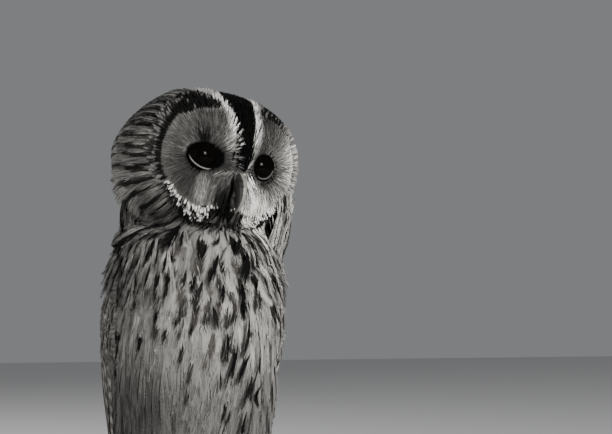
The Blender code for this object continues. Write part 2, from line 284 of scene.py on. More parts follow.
def disc_away(h):
    """0 at the middle of a facial disc, 1 at its rim, for places in the head's axes."""
    return np.hypot((np.abs(h[:, 0]) - DISC_ACROSS) / DISC_HALF_WIDTH, (h[:, 2] + DISC_BELOW) / DISC_HALF_HEIGHT)


solid_trees = {n: tree_of(NODES[n]) for n in [*FLESH, "eye_left", "eye_right"]}
places = column(skin.data.vertices, "co")
skin_solids = nearest_solid(places)
depth = np.array([COAT_DEPTH[kind_of(n)] for n in skin_solids])
h = to_head(places)
on_face = np.array([n.startswith(("head", "eye")) for n in skin_solids]) & (h[:, 1] < -0.012)
face = on_face * (1 - step(0.8, 1.15, disc_away(h)))
depth = depth * (1 - face) + FACE_DEPTH * face
edges = neighbours(skin.data)
depth = evened(depth, edges, rounds=6)
group = skin.vertex_groups.new(name="coat depth")
deepest = float(depth.max() + SKIN_GROW)
for i, value in enumerate((depth + SKIN_GROW) / deepest):
    group.add([i], float(value), "REPLACE")
for _ in range(DRAW_STEPS):
    modify(skin, "DISPLACE", strength=-deepest / DRAW_STEPS, mid_level=0, vertex_group="coat depth")
    modify(skin, "SMOOTH", factor=0.5, iterations=2)
print("skin drawn in by", round(float(depth.min()) * 1000, 1), "to", round(deepest * 1000, 1), "mm")

# %% [markdown]
# Behind the right side of the crown the owl's feathers lie flatter than on the left, so its outline is
# lower there. What stands out past a plane across that corner of the skull is pressed in by about half,
# softly, so that no edge shows. A lattice would do the same, but a plane and a share say it in two numbers.

# %% Lower the crown's back right corner
LOW_WAY, LOW_FROM = np.array([-0.65, 0.14, 0.745]), 0.0425  # the plane's normal, its distance from the middle
LOW_SHARE, LOW_SOFTNESS = 0.46, 0.002
places = column(skin.data.vertices, "co")
past = ((places - HEAD_ORIGIN) @ LOW_WAY - LOW_FROM).clip(0)
lowered = LOW_SHARE * past**2 / (past + LOW_SOFTNESS)
places = places - LOW_WAY * lowered[:, None]
move_to(skin, places)
print("crown lowered by up to", round(float(lowered.max()) * 1000, 1), "mm")

# %% [markdown]
# ## The lids
#
# The lids are the skin itself, drawn over each eyeball outside an almond-shaped opening and pulled back
# inside it. An owl's lids are bare and black at the edge. Its left eye is a little more closed than its
# right one, so each side has its own almond. Cutting holes in the skin would leave open edges.

# %% Openings of the eyes
# Reach outwards, reach inwards and half height: of the opening, and of the bare black skin round it
OPENING = {1: (0.0067, 0.0067, 0.0074), -1: (0.0108, 0.0102, 0.0079)}
BARE = {1: (0.0073, 0.0072, 0.0079), -1: (0.0122, 0.0116, 0.0086)}
ALMOND_TILT = {1: 0.0, -1: 0.05}
LID_OVER, HOLE_UNDER = 0.0005, 0.0022  # the skin's place over the ball's surface, and under it in the opening
EYE_FRONT = -0.018


def almond(h, sizes=BARE):
    """1 on the edge of an almond round the nearer eye, less inside, for places in the head's axes."""
    left = h[:, 0] > 0
    across = np.abs(h[:, 0]) - EYE_ACROSS
    outer, inner, high = (np.where(left, sizes[1][i], sizes[-1][i]) for i in range(3))
    up = h[:, 2] - np.where(left, ALMOND_TILT[1], ALMOND_TILT[-1]) * across
    return np.hypot(across / np.where(across > 0, outer, inner), up / high)


h = to_head(places)
covered = step(0.93, 1.03, almond(h, OPENING))
for side in ("left", "right"):
    from_ball = places - np.array(eye_at[side])
    far = np.linalg.norm(from_ball, axis=1)
    wanted = EYE_RADIUS - HOLE_UNDER * (1 - covered) + LID_OVER * covered
    growth = np.maximum(wanted / far, np.where(covered > 0.5, 1, 0)) - 1
    moved = (far < EYE_RADIUS + LID_OVER) & (h[:, 1] < EYE_FRONT)
    places = np.where(moved[:, None], places + from_ball * growth[:, None], places)
move_to(skin, places)
print("openings:", int((almond(h, OPENING) < 1).sum()), "vertices under the balls")

# %% [markdown]
# The edge of each lid is a thin roll. It is a torus bent along the almond over the ball, as one bends a
# roll of clay. A mirror turned the right eye's roll inside out, so its normals are flipped back.

# %% Rolls of the lids
ROLL = 0.0005
lids = []
for side, sign in SIDES:
    bpy.ops.mesh.primitive_torus_add(major_radius=0.01, minor_radius=ROLL, major_segments=64, minor_segments=10)
    fold = bpy.context.object
    outer, inner, high = OPENING[sign]
    for vert in fold.data.vertices:
        turn = math.atan2(vert.co.y, vert.co.x)
        part = vert.co - Vector((math.cos(turn), math.sin(turn), 0)) * 0.01
        reach = (outer if math.cos(turn) > 0 else inner) * math.cos(turn)
        rise = high * math.sin(turn) + ALMOND_TILT[sign] * reach
        deep = math.sqrt(max((EYE_RADIUS + 0.0002) ** 2 - reach**2 - rise**2, 0.0))
        aside = head_x * sign * (reach + part.x)
        vert.co = eye_at[side] + aside + head_z * (rise + part.y) + ahead * (deep + part.z)
    if sign < 0:
        edit_all(fold, bpy.ops.mesh.flip_normals)
    lids.append(fold)
SKIN_VERTS = len(skin.data.vertices)
skin = join([skin, *lids], "skin")
only(skin)
bpy.ops.object.shade_smooth()
print("skin with lids:", len(skin.data.polygons), "faces")

# %% [markdown]
# The skin is unwrapped by its own shape, not from any side. Every feather later takes a small patch of
# this unwrap at its root, so that a baked picture of the coat has one place for each.

# %% Unwrap the skin and read it
edit_all(skin, lambda: bpy.ops.uv.smart_project(angle_limit=math.radians(66), island_margin=0.001))
skin.data.uv_layers[0].name = "OFBake"

skin.data.calc_loop_triangles()
TRIS = column(skin.data.loop_triangles, "vertices").astype(int)
TRI_LOOPS = column(skin.data.loop_triangles, "loops").astype(int)
keep = (TRIS < SKIN_VERTS).all(axis=1)
TRIS, TRI_LOOPS = TRIS[keep], TRI_LOOPS[keep]
SKIN_AT = column(skin.data.vertices, "co")
SKIN_OUT = column(skin.data.vertices, "normal")
SKIN_UV = np.empty(len(skin.data.loops) * 2, np.float32)
skin.data.uv_layers["OFBake"].data.foreach_get("uv", SKIN_UV)
SKIN_UV = SKIN_UV.reshape(-1, 2).astype(float)
skin_tree = BVHTree.FromPolygons(SKIN_AT.tolist(), TRIS.tolist())
SKIN_KIND = np.array([kind_of(n) for n in skin_solids])
SKIN_DEPTH = depth
print("skin read:", len(TRIS), "triangles")

# %% [markdown]
# ## Where the feathers root, and how they lie
#
# Roots are strewn over the skin so that none is closer to another than the spacing of its tract, like
# pores. The lie of the coat is a direction at each root. On the body it runs down and, on the flanks,
# back. On the wings it runs from the shoulder to the tips, on the crown from the bill backwards, and on
# each facial disc outwards from the eye. From its root a shaft runs on over the skin, rising slowly, so
# that each feather's tip lies over the roots of the next, like slates.

# %% Places and directions on the skin
def unit(vectors):
    """The same directions, one long."""
    return vectors / np.linalg.norm(vectors, axis=-1, keepdims=True).clip(1e-9)


def flat_on(vectors, normals):
    """Directions laid flat on the surface with those normals."""
    return unit(vectors - (vectors * normals).sum(1, keepdims=True) * normals)


def ways(n, aside, back, up):
    """A direction for each of n feathers, from values that may be the same for all."""
    return np.column_stack([np.broadcast_to(v, n) for v in (aside, back, up)])


def on_skin(points):
    """The skin's nearest places, its smooth normals there and the coat's depth there."""
    at = np.empty_like(points)
    tri = np.empty(len(points), int)
    for i, point in enumerate(points.tolist()):
        hit = skin_tree.find_nearest(point)
        at[i] = hit[0]
        tri[i] = hit[2]
    corner = TRIS[tri]
    return at, unit(SKIN_OUT[corner].sum(1)), SKIN_DEPTH[corner].mean(1)


TRI_KIND = SKIN_KIND[TRIS[:, 0]]
TRI_MIDDLE = SKIN_AT[TRIS].mean(1)
ASIDE, _, HEIGHT = TRI_MIDDLE.T
FACES_LEFT, FACES_BACK, FACES_UP = unit(SKIN_OUT[TRIS].sum(1)).T
print("triangles:", {kind: int((TRI_KIND == kind).sum()) for kind in sorted(set(TRI_KIND))})

# %% [markdown]
# Seven times too many roots are thrown on the chosen part at random. Then they are gone through in turn,
# and each one that is kept clears the roots closer to it than the spacing. A regular grid would show as
# lines in the coat, and a Poisson scatter by nodes can't be read back here as plain places.

# %% Strew roots
TRIES = 7


def strew(chosen, spacing, shift):
    """Roots on the chosen triangles, none within its spacing of another."""
    tris = np.flatnonzero(chosen)
    a, b, c = (SKIN_AT[TRIS[tris, i]] for i in range(3))
    area = np.linalg.norm(np.cross(b - a, c - a), axis=1) / 2
    middle = (a + b + c) / 3
    gap = spacing(middle) if callable(spacing) else np.full(len(tris), float(spacing))
    wanted = area / gap**2
    count = int(wanted.sum() * TRIES) + 10
    draw = np.random.default_rng(11 + shift)
    pick = draw.choice(len(tris), count, p=wanted / wanted.sum())
    r = np.sqrt(draw.random((count, 1)))
    s = draw.random((count, 1))
    weights = np.hstack([1 - r, r * (1 - s), r * s])
    tri = TRIS[tris[pick]]
    at = (SKIN_AT[tri] * weights[:, :, None]).sum(1)
    gap = gap[pick]
    tree = KDTree(count)
    for i, point in enumerate(at.tolist()):
        tree.insert(point, i)
    tree.balance()
    free = np.ones(count, bool)
    kept = []
    for i in range(count):
        if free[i]:
            kept.append(i)
            for _, j, _ in tree.find_range(at[i], gap[i]):
                free[j] = False
    tri, weights = tri[kept], weights[kept]
    loops = TRI_LOOPS[tris[pick[kept]]]
    return {
        "at": at[kept],
        "out": unit((SKIN_OUT[tri] * weights[:, :, None]).sum(1)),
        "uv": (SKIN_UV[loops] * weights[:, :, None]).sum(1),
        "h": to_head(at[kept]),
        "n": len(kept),
    }


def rooted(points):
    """Roots at the skin's places nearest to the points, for feathers that stand in rows."""
    points = np.asarray(points, float)
    tri = np.array([skin_tree.find_nearest(p)[2] for p in points.tolist()])
    at, out, _ = on_skin(points)
    return {"at": at, "out": out, "uv": SKIN_UV[TRI_LOOPS[tri]].mean(1), "h": to_head(at), "n": len(at)}


def tract(zone, spacing, shift, chances=1):
    """Roots strewn on a zone, their number, their places on the head and as many chances for each."""
    roots = strew(zone, spacing, shift)
    return roots, roots["n"], roots["h"], *rng.random((chances, roots["n"]))


def stray(amount, n):
    """A factor for each feather that strays from 1."""
    return 1 + amount * rng.normal(0, 1, n)


print("thrown for each root:", TRIES)

# %% [markdown]
# A shaft starts along the lie of the coat and takes six short steps over the skin, laid flat on it again
# after each. Feathers that bridge a hollow or follow a drawn line get their shafts as given places instead.

# %% Shafts
KNOTS = 7


def shafts(roots, lie, length):
    """Shafts that run over the skin from the roots: places, normals, sideways directions, coat depths."""
    at, out = roots["at"], roots["out"]
    along = flat_on(lie, out)
    _, _, deep = on_skin(at)
    line = [(at, out, np.cross(along, out), deep)]
    for _ in range(KNOTS - 1):
        at, out, deep = on_skin(at + along * (length / (KNOTS - 1))[:, None])
        along = flat_on(along, out)
        line.append((at, out, np.cross(along, out), deep))
    return [np.stack([knot[i] for knot in line], 1) for i in range(4)]


def along_of(at):
    """The way each shaft runs at its knots, as long as the step between them."""
    return np.gradient(at, axis=1)


def run_length(at):
    """How long each shaft is."""
    return np.linalg.norm(along_of(at), axis=2).sum(1)


def run_of(at, out, deep):
    """Shafts along given places, with what shafts() gives for each."""
    return at, out, np.cross(unit(along_of(at)), out), np.broadcast_to(deep, at.shape[:2])


def eased(line, rounds):
    """Runs of values along the second axis, each evened with its neighbours."""
    for _ in range(rounds):
        line = line.copy()
        line[:, 1:-1] = 0.5 * line[:, 1:-1] + 0.25 * (line[:, :-2] + line[:, 2:])
    return line


print("a shaft has", KNOTS, "knots")

# %% [markdown]
# ## One feather
#
# A body feather is a shaft with a row of barbs each side. Each barb is a blade that is as broad as its
# neighbours are apart near the shaft and tapers to a point, so that the vane is whole along the middle and
# frays at the edge. The pattern of barbs is made once in a flat plane, and then bent over the skin along
# every shaft, with its own small irregularities. Sculpted or flat card feathers would lose the soft edge.

# %% Barbs and vanes
def vane(barbs, slant=0.75, whole=0.8, base=0.06, shaft=0.02, roundness=0.8, full=0.8, stations=4):
    """The flat pattern of a feather: u across from -1 to 1, v along from 0 to 1, and its triangles."""
    u, v, barb, tip, tilt, tris = [], [], [], [], [], []

    def outline(t):
        return math.sin(math.pi * min(max(t, 0.02), 0.995) ** full) ** roundness

    half = (1 - base) / barbs * 0.75
    for side in (-1, 1):
        for i in range(barbs):
            start = base + (0.97 - base) * (i + 0.5) / barbs
            reach = outline(start + 0.35 * slant * outline(start))
            end = min(1.0, start + slant * reach)
            first = len(u)
            for k in range(stations):
                f = k / (stations - 1)
                width = max(0.0, 1 - f ** (2.2 * whole + 0.4))
                for edge in (-1, 1) if k < stations - 1 else (0,):
                    u.append(side * reach * (1 - (1 - f) ** 1.35))
                    v.append(start + (end - start) * f**1.25 + edge * half * width)
                    barb.append(i if side > 0 else barbs + i)
                    tip.append(f)
                    tilt.append(edge)
            for k in range(stations - 1):
                low = first + 2 * k
                blade = [(low, low + 2, low + 1)]
                if k < stations - 2:
                    blade = [(low, low + 2, low + 3), (low, low + 3, low + 1)]
                tris += [tri if side > 0 else tri[::-1] for tri in blade]
    first = len(u)
    steps = (0.0, 0.3, 0.6, 0.85, 1.0)
    for k, t in enumerate(steps):
        for edge in (-1, 1):
            u.append(edge * shaft * (1.15 - t))
            v.append(t * 0.985)
            barb.append(0)
            tip.append(0)
            tilt.append(1.5)
        if k:
            low = first + 2 * k - 2
            tris += [(low, low + 1, low + 3), (low, low + 3, low + 2)]
    return {"u": np.array(u), "v": np.array(v), "barb": np.array(barb), "tip": np.array(tip),
            "tilt": np.array(tilt), "tris": np.array(tris), "barbs": 2 * barbs}


sample = vane(12)
print("a vane of 12 pairs of barbs:", len(sample["tris"]), "triangles")

# %% [markdown]
# The flat pattern is bent over every shaft at once with arrays, which is the quick way to make thousands
# of feathers in one mesh: across the vane it follows the fall of the skin to each side, along it the tip
# rises through the coat's depth. Length, width and every barb stray a little, as real barbs do.

# %% Bend a pattern over the shafts
BARB_STEP = 0.00006  # one edge of a barb lies this much higher than the other
DROOP, BUCKLE = 0.6, 0.3  # how far a vane's edge may fall and rise, in half widths


def between(knots, v):
    """Values at places v (0 to 1) along arrays of knots."""
    place = np.clip(v, 0, 1) * (knots.shape[1] - 1)
    low = np.minimum(place.astype(int), knots.shape[1] - 2)
    part = (place - low).reshape(1, -1, *([1] * (knots.ndim - 2)))
    return knots[:, low] * (1 - part) + knots[:, low + 1] * part


def lay(pattern, roots, lie, length, half_width, rise=(0.12, 1.0), ragged=0.15, fluff=0.0003, camber=0.12,
        twist=0.12, lift=0.0, seed=1, line=None):
    """Bends the pattern over the skin at every root, or along given shafts. It returns places and faces."""
    draw = np.random.default_rng(seed)
    n, m = roots["n"], len(pattern["u"])
    length = length * draw.uniform(0.9, 1.1, n)
    half_width = half_width * draw.uniform(0.88, 1.12, n)
    at, out, across, deep = line or shafts(roots, lie, length)
    sag = []
    for sign in (-1, 1):
        spots = (at + across * sign * half_width[:, None, None]).reshape(-1, 3)
        seen = spots if line else on_skin(spots)[0]
        fall = ((seen - spots) * out.reshape(-1, 3)).sum(1).reshape(n, -1)
        sag.append(np.clip(fall, -DROOP * half_width[:, None], BUCKLE * half_width[:, None]))
    sag = np.stack(sag, 2)

    u, v = pattern["u"], pattern["v"]
    wild = draw.normal(0, 1, (3, n, pattern["barbs"]))[:, :, pattern["barb"]]
    u = u * (1 + ragged * wild[0] * pattern["tip"])
    w = v + ragged * 0.06 * wild[1] * pattern["tip"]
    place, normal, sideways, depths, droop = (between(knots, v) for knots in (at, out, across, deep, sag))
    droop = np.where(u > 0, droop[:, :, 1], droop[:, :, 0]) * np.minimum(u * u, 1.4)
    height = depths * (rise[0] + (rise[1] - rise[0]) * np.clip(v, 0, 1) ** 0.8)
    height = height + np.asarray(lift).reshape(-1, 1) * np.clip(v, 0, 1) ** 2
    height = height + droop - camber * half_width[:, None] * u * u
    height += draw.normal(0, twist, (n, 1)) * u * half_width[:, None] * v
    height += BARB_STEP * pattern["tilt"] + fluff * wild[2] * pattern["tip"]
    end = (at[:, -1] - at[:, -2]) * (at.shape[1] - 1)
    place = place + sideways * (u * half_width[:, None])[:, :, None] + normal * height[:, :, None]
    place = place + end[:, None, :] * (w - v)[:, :, None]
    tris = pattern["tris"][None] + (np.arange(n) * m)[:, None, None]
    return place.reshape(-1, 3), tris.reshape(-1, 3), normal.reshape(-1, 3)


print("a vane's edge falls by up to", DROOP, "of its half width")

# %% [markdown]
# The arrays become a mesh, smooth shaded. Each feather hands its tones and marks to its vertices as colour
# attributes, and carries two maps: Vane, where a point lies on its own vane, and OFBake, a small patch of
# the skin's unwrap at its root. In real plumage light passes from barb to barb, so the shading normals are
# turned partly towards those of the body.

# %% From arrays to a piece of the coat
PATCH = 0.003
coat = []


def solid_mesh(name, places, tris):
    """A mesh object from arrays."""
    mesh = bpy.data.meshes.new(name)
    mesh.vertices.add(len(places))
    mesh.vertices.foreach_set("co", places.astype(np.float32).ravel())
    mesh.loops.add(tris.size)
    mesh.loops.foreach_set("vertex_index", tris.astype(np.int32).ravel())
    mesh.polygons.add(len(tris))
    mesh.polygons.foreach_set("loop_start", np.arange(0, tris.size, 3, dtype=np.int32))
    mesh.update(calc_edges=True)
    mesh.validate()
    mesh.shade_smooth()
    made = bpy.data.objects.new(name, mesh)
    bpy.context.collection.objects.link(made)
    return made


def colour_in(thing, name, values):
    """A colour attribute with one value for each vertex."""
    layer = thing.data.attributes.new(name, "FLOAT_COLOR", "POINT")
    layer.data.foreach_set("color", np.asarray(values, np.float32).ravel())


def uv_in(thing, name, values):
    """A map with one place for each vertex."""
    layer = thing.data.uv_layers.new(name=name)
    corners = np.empty(len(thing.data.loops), np.int32)
    thing.data.loops.foreach_get("vertex_index", corners)
    layer.data.foreach_set("uv", np.asarray(values, np.float32)[corners].ravel())


def soften(thing, body, share):
    """Turns the shading normals towards the body's, as light passing from barb to barb softens real plumage."""
    own = column(thing.data.vertices, "normal")
    own *= np.sign((own * body).sum(1, keepdims=True) + 1e-9)
    thing.data.normals_split_custom_set_from_vertices(unit(own * (1 - share) + body * share).tolist())


def dress(made, ground, mark, maps, material):
    """Gives a piece of the coat its marks, maps and material."""
    each = len(made.data.vertices) // len(ground)
    colour_in(made, "Ground", np.repeat(ground, each, axis=0))
    colour_in(made, "Mark", np.repeat(mark, each, axis=0))
    for key, values in maps.items():
        uv_in(made, key, values)
    made.data.materials.append(material)
    coat.append(made)
    print(f"{made.name}: {len(ground)} feathers, {len(made.data.polygons)} triangles")
    return made


def feather(name, pattern, roots, ground, mark, *, lie=None, length, half_width, slot, material=None,
            softness=0.65, **lay_out):
    """One piece of the coat: a joined mesh of feathers with their marks and the bake patches of their roots."""
    places, tris, body = lay(pattern, roots, lie, length, half_width, **lay_out)
    made = solid_mesh(name, places, tris)
    soften(made, body, softness)
    flat = np.column_stack([(pattern["u"] + 1) / 2, pattern["v"]])
    patch = np.repeat(roots["uv"], len(flat), axis=0) + np.tile((flat - 0.5) * PATCH, (roots["n"], 1))
    maps = {"OFBake": patch, "Vane": np.tile(flat, (roots["n"], 1))}
    return dress(made, ground, mark, maps, material or BODY_FEATHERS)


print("bake patches are", PATCH, "of the unwrap")

# %% [markdown]
# ## How plumage is coloured
#
# One group of shader nodes paints every body feather. It reads where a point lies on its vane, from the
# feather's own map, and the feather's marks: how wide its dark shaft streak is, how strongly it is barred,
# and whether its tip is white. Each feather carries those values itself, and the skin carries the same
# ground colours, so that a gap in the coat shows the right tone.

# %% Shader tools
def add(tree, kind, inputs=None, **settings):
    """Adds a shader node with these inputs, each a value or another node's output."""
    node = tree.nodes.new(kind)
    for key, value in settings.items():
        setattr(node, key, value)
    for key, value in (inputs or {}).items():
        if isinstance(value, bpy.types.NodeSocket):
            tree.links.new(value, node.inputs[key])
        else:
            node.inputs[key].default_value = value
    return node


def calc(tree, operation, *values, clamp=False):
    """Adds a node that calculates."""
    node = add(tree, "ShaderNodeMath", dict(enumerate(values)), operation=operation, use_clamp=clamp)
    return node.outputs[0]


def ramp(tree, value, low, high, out_low=0.0, out_high=1.0):
    """Turns low..high into out_low..out_high with a smooth step."""
    node = add(tree, "ShaderNodeMapRange", {"Value": value, "From Min": low, "From Max": high,
                                            "To Min": out_low, "To Max": out_high},
               interpolation_type="SMOOTHSTEP")
    return node.outputs["Result"]


def mixed(tree, factor, a, b, blend="MIX"):
    """Adds a node that mixes two colours."""
    node = add(tree, "ShaderNodeMix", data_type="RGBA", blend_type=blend)
    for key, value in ((0, factor), (6, a), (7, b)):
        if isinstance(value, bpy.types.NodeSocket):
            tree.links.new(value, node.inputs[key])
        else:
            node.inputs[key].default_value = value
    return node.outputs[2]


def new_group(name, ins, outs):
    """A new group of shader nodes, with what goes in and what comes out."""
    tree = bpy.data.node_groups.new(name, "ShaderNodeTree")
    kinds = {"c": "NodeSocketColor", "f": "NodeSocketFloat", "v": "NodeSocketVector"}
    for key, kind in ins:
        tree.interface.new_socket(key, in_out="INPUT", socket_type=kinds[kind])
    for key, kind in outs:
        tree.interface.new_socket(key, in_out="OUTPUT", socket_type=kinds[kind])
    return tree, tree.nodes.new("NodeGroupInput").outputs, tree.nodes.new("NodeGroupOutput").inputs


def new_material(name, **constants):
    """A new material, its nodes and its shader with these constants."""
    made = bpy.data.materials.new(name)
    made.use_nodes = True
    made.use_backface_culling = False
    shader = made.node_tree.nodes["Principled BSDF"]
    for key, value in constants.items():
        shader.inputs[key.replace("_", " ").replace("Level", "IOR Level")].default_value = value
    return made, made.node_tree, shader


WHITE = (0.82, 0.80, 0.765, 1)  # of tips and outer webs


def marks_group(name, across, along):
    """A group that reads a feather's map and marks: side is -1 to 1 across the vane, place is for noise."""
    tree, given, out = new_group(
        name, [("Vane", "v"), ("Ground", "c"), ("Chance", "f"), ("Marks", "c"), ("Dark", "f")],
        [("Color", "c"), ("Height", "f")])
    spot = add(tree, "ShaderNodeSeparateXYZ", {0: given["Vane"]}).outputs
    marks = add(tree, "ShaderNodeSeparateColor", {0: given["Marks"]}).outputs
    side = calc(tree, "MULTIPLY_ADD", spot[0], 2.0, -1.0)
    place = add(tree, "ShaderNodeCombineXYZ", {
        "X": calc(tree, "MULTIPLY", spot[0], across), "Y": calc(tree, "MULTIPLY", spot[1], along),
        "Z": calc(tree, "MULTIPLY", given["Chance"], 91.0)}).outputs[0]
    return tree, given, out, marks, side, spot[1], place


def noise_at(tree, place, scale, detail):
    return add(tree, "ShaderNodeTexNoise", {"Vector": place, "Scale": scale, "Detail": detail}).outputs[0]


def warm_dark(tree, light, green, blue):
    """The colour of dark marks of that lightness."""
    return add(tree, "ShaderNodeCombineColor", {
        0: light, 1: calc(tree, "MULTIPLY", light, green), 2: calc(tree, "MULTIPLY", light, blue)}).outputs[0]


def end_marks(tree, out, colour, shade, lines):
    """Ends a group: the colour in its shade, and the barbs' lines as a height."""
    grey = add(tree, "ShaderNodeCombineColor", {0: shade, 1: shade, 2: shade}).outputs[0]
    tree.links.new(mixed(tree, 1.0, colour, grey, "MULTIPLY"), out["Color"])
    tree.links.new(lines, out["Height"])
    return tree


print("white:", WHITE[:3])

# %% [markdown]
# A body feather's ground colour is crossed by a dark streak along the shaft, which swells in the middle and
# has a wavering edge, and by bars that slope back like the barbs. Its tip may be white or dark, its base is
# darker, partly as its own greyer down and partly as painted shade where the next feathers cover it, and
# fine lines show the barbs.

# %% Body feather marks
def plumage_group():
    tree, given, out, marks, side, y, place = marks_group("feather marks", 2.2, 5.0)
    do = partial(calc, tree)
    x = do("ABSOLUTE", side)
    noise = noise_at(tree, place, 1.6, 2.0)
    rise = do("SINE", do("MULTIPLY", do("MULTIPLY_ADD", y, 1.35, -0.36, clamp=True), math.pi))
    shape = do("POWER", do("MAXIMUM", rise, 0.001), 0.8)
    width = do("MULTIPLY", do("MULTIPLY", marks[0], shape), do("MULTIPLY_ADD", noise, 1.1, 0.45))
    streak = do("SUBTRACT", 1.0, ramp(tree, do("SUBTRACT", x, width), -0.10, 0.08))
    streak = do("MULTIPLY", streak, ramp(tree, marks[0], 0.0, 0.03))
    turn = do("ADD", do("MULTIPLY_ADD", y, 5.6, given["Chance"]),
              do("MULTIPLY_ADD", x, -0.55, do("MULTIPLY", noise, 1.3)))
    wave = do("SINE", do("MULTIPLY", turn, 2 * math.pi))
    bars = do("MULTIPLY", ramp(tree, wave, 0.0, 0.7), marks[1])
    bars = do("MULTIPLY", bars, ramp(tree, x, 0.02, 0.2))
    dark = warm_dark(tree, given["Dark"], 0.90, 0.80)
    colour = mixed(tree, do("MAXIMUM", streak, bars, clamp=True), given["Ground"], dark)
    tip = do("MULTIPLY_ADD", marks[2], 2.0, -1.0)
    at_tip = do("MULTIPLY", ramp(tree, y, 0.70, 0.88), ramp(tree, x, 0.75, 0.35))
    colour = mixed(tree, do("MULTIPLY", at_tip, tip, clamp=True), colour, WHITE)
    colour = mixed(tree, do("MULTIPLY", at_tip, do("MULTIPLY", tip, -1.0), clamp=True), colour, dark)
    lines = do("SINE", do("MULTIPLY_ADD", y, 150.0, do("MULTIPLY", x, -55.0)))
    # The darker base is partly the greyer down and partly painted shade under the next feathers.
    shade = do("MULTIPLY", do("MULTIPLY_ADD", lines, 0.07, 0.95), ramp(tree, y, 0.05, 0.45, 0.62, 1.0))
    return end_marks(tree, out, colour, shade, lines)


PLUMAGE = plumage_group()


def plumage_material(name, roughness=0.8, sheen=0.03, marking=PLUMAGE):
    """A material whose feathers are marked by that group."""
    made, tree, shader = new_material(name, Roughness=roughness, Specular_Level=0.05, Sheen_Weight=sheen,
                                      Sheen_Roughness=0.5)
    ground = add(tree, "ShaderNodeAttribute", attribute_name="Ground").outputs
    marks = add(tree, "ShaderNodeAttribute", attribute_name="Mark").outputs
    vane_map = add(tree, "ShaderNodeUVMap", uv_map="Vane").outputs[0]
    group = add(tree, "ShaderNodeGroup", node_tree=marking)
    for key, value in (("Vane", vane_map), ("Ground", ground["Color"]), ("Chance", ground["Alpha"]),
                       ("Marks", marks["Color"]), ("Dark", marks["Alpha"])):
        tree.links.new(value, group.inputs[key])
    tree.links.new(group.outputs["Color"], shader.inputs["Base Color"])
    bump = add(tree, "ShaderNodeBump", {"Height": group.outputs["Height"], "Strength": 0.25, "Distance": 0.0002})
    tree.links.new(bump.outputs[0], shader.inputs["Normal"])
    return made


BODY_FEATHERS = plumage_material("body feathers")
ON_FACE = {"material": plumage_material("face feathers", 0.9, 0.005), "slot": "head_plumage"}
print("materials ready")

# %% [markdown]
# ## The markings of the face
#
# In the grey tawny owl the discs are grey with fine rays, dark round the eye and white below. A black
# stripe runs up the middle of the brow from the bill, between two white bands. The feathers of the bands
# point away from the eyes, so that their tips cut into the stripe like teeth. The ruff round each disc is
# finely speckled, black above, and bold white with black bars under the cheeks. The tone at each place is
# one set of functions, which paints the skin and the feathers alike.

# %% Outlines of the markings
# Each outline is a list of points: height and place across, or for the rim bearing and distance
STRIPE_MIDDLE = [(-0.010, 0.0010), (-0.004, 0.0030), (0.007, 0.0036), (0.013, 0.0026), (0.022, 0.0028),
                 (0.034, 0.0034)]
STRIPE_HALF = [(-0.0068, 0.0), (-0.0054, 0.0042), (-0.0020, 0.0056), (0.0015, 0.0050), (0.0050, 0.0044),
               (0.0080, 0.0044), (0.0130, 0.0052), (0.0200, 0.0064), (0.0260, 0.0070), (0.0320, 0.0086),
               (0.0360, 0.0115), (0.0390, 0.0150), (0.0430, 0.0200)]
BAND_OUT = [(-0.006, 0.0050), (0.000, 0.0085), (0.006, 0.0118), (0.012, 0.0140), (0.024, 0.0138), (0.031, 0.0155),
            (0.0355, 0.0210), (0.0385, 0.0270), (0.043, 0.0340)]
RIM_ACROSS, RIM_BELOW = 0.021, 0.001
RIM = [(-180, 0.0330), (-125, 0.0385), (-108, 0.0395), (-93, 0.0365), (-77, 0.0315), (-60, 0.0285), (-44, 0.0272),
       (0, 0.0275), (20, 0.0282), (36, 0.0292), (53, 0.0314), (69, 0.0344), (86, 0.0358), (108, 0.0395),
       (180, 0.0330)]


def curve(points, at):
    """Reads a list of points, straight between them."""
    return np.interp(at, [p[0] for p in points], [p[1] for p in points])


def rim_bearing(h):
    """The angle round the disc's middle: 0 outwards, 90 up, in degrees."""
    return np.degrees(np.arctan2(h[:, 2] + RIM_BELOW, np.abs(h[:, 0]) - RIM_ACROSS))


def rim_away(h):
    """0 at the disc's middle, 1 on the line where the disc meets the ruff."""
    return np.hypot(np.abs(h[:, 0]) - RIM_ACROSS, h[:, 2] + RIM_BELOW) / curve(RIM, rim_bearing(h))


def eye_away(h):
    """How far a place is from the nearer eye."""
    return np.hypot(np.abs(h[:, 0]) - EYE_ACROSS, h[:, 2])


def eye_bearing(h):
    """The angle round the eye: 0 outwards, 90 up, 180 to the bill, -90 down, in degrees."""
    return np.degrees(np.arctan2(h[:, 2], np.abs(h[:, 0]) - EYE_ACROSS))


def off_stripe(h):
    """How far a place is from the stripe's middle."""
    return np.abs(h[:, 0] - curve(STRIPE_MIDDLE, h[:, 2]))


def stripe_half(h):
    """The stripe's half width, which flares on the crown on the owl's left only."""
    narrow = step(0.033, 0.040, h[:, 2]) * step(0.003, -0.001, h[:, 0])
    return curve(STRIPE_HALF, h[:, 2]) * (1 - 0.48 * narrow)


def band_out(h):
    """How far the white bands reach from the stripe's middle: less on the owl's left."""
    return curve(BAND_OUT, h[:, 2]) * (1 - 0.24 * step(0.0, 0.004, h[:, 0]) * step(0.034, 0.028, h[:, 2]))


print("stripe", STRIPE_MIDDLE[-1][0] - STRIPE_MIDDLE[0][0], "m long; rim of", len(RIM), "points")

# %% [markdown]
# The ruff is not the same all round: its upper part is black, its side plain, and its lower part a bold row
# of white. Beside and below the bill lies a sooty chin, which beside the bill is partly painted shade.
# These are shares from 0 to 1, so that each part runs out softly into the next.

# %% Parts of the ruff, and the chin
def span(value, a, b, c, d):
    """Rises from 0 at a to 1 at b, and falls from 1 at c to 0 at d."""
    return step(a, b, value) * step(d, c, value)


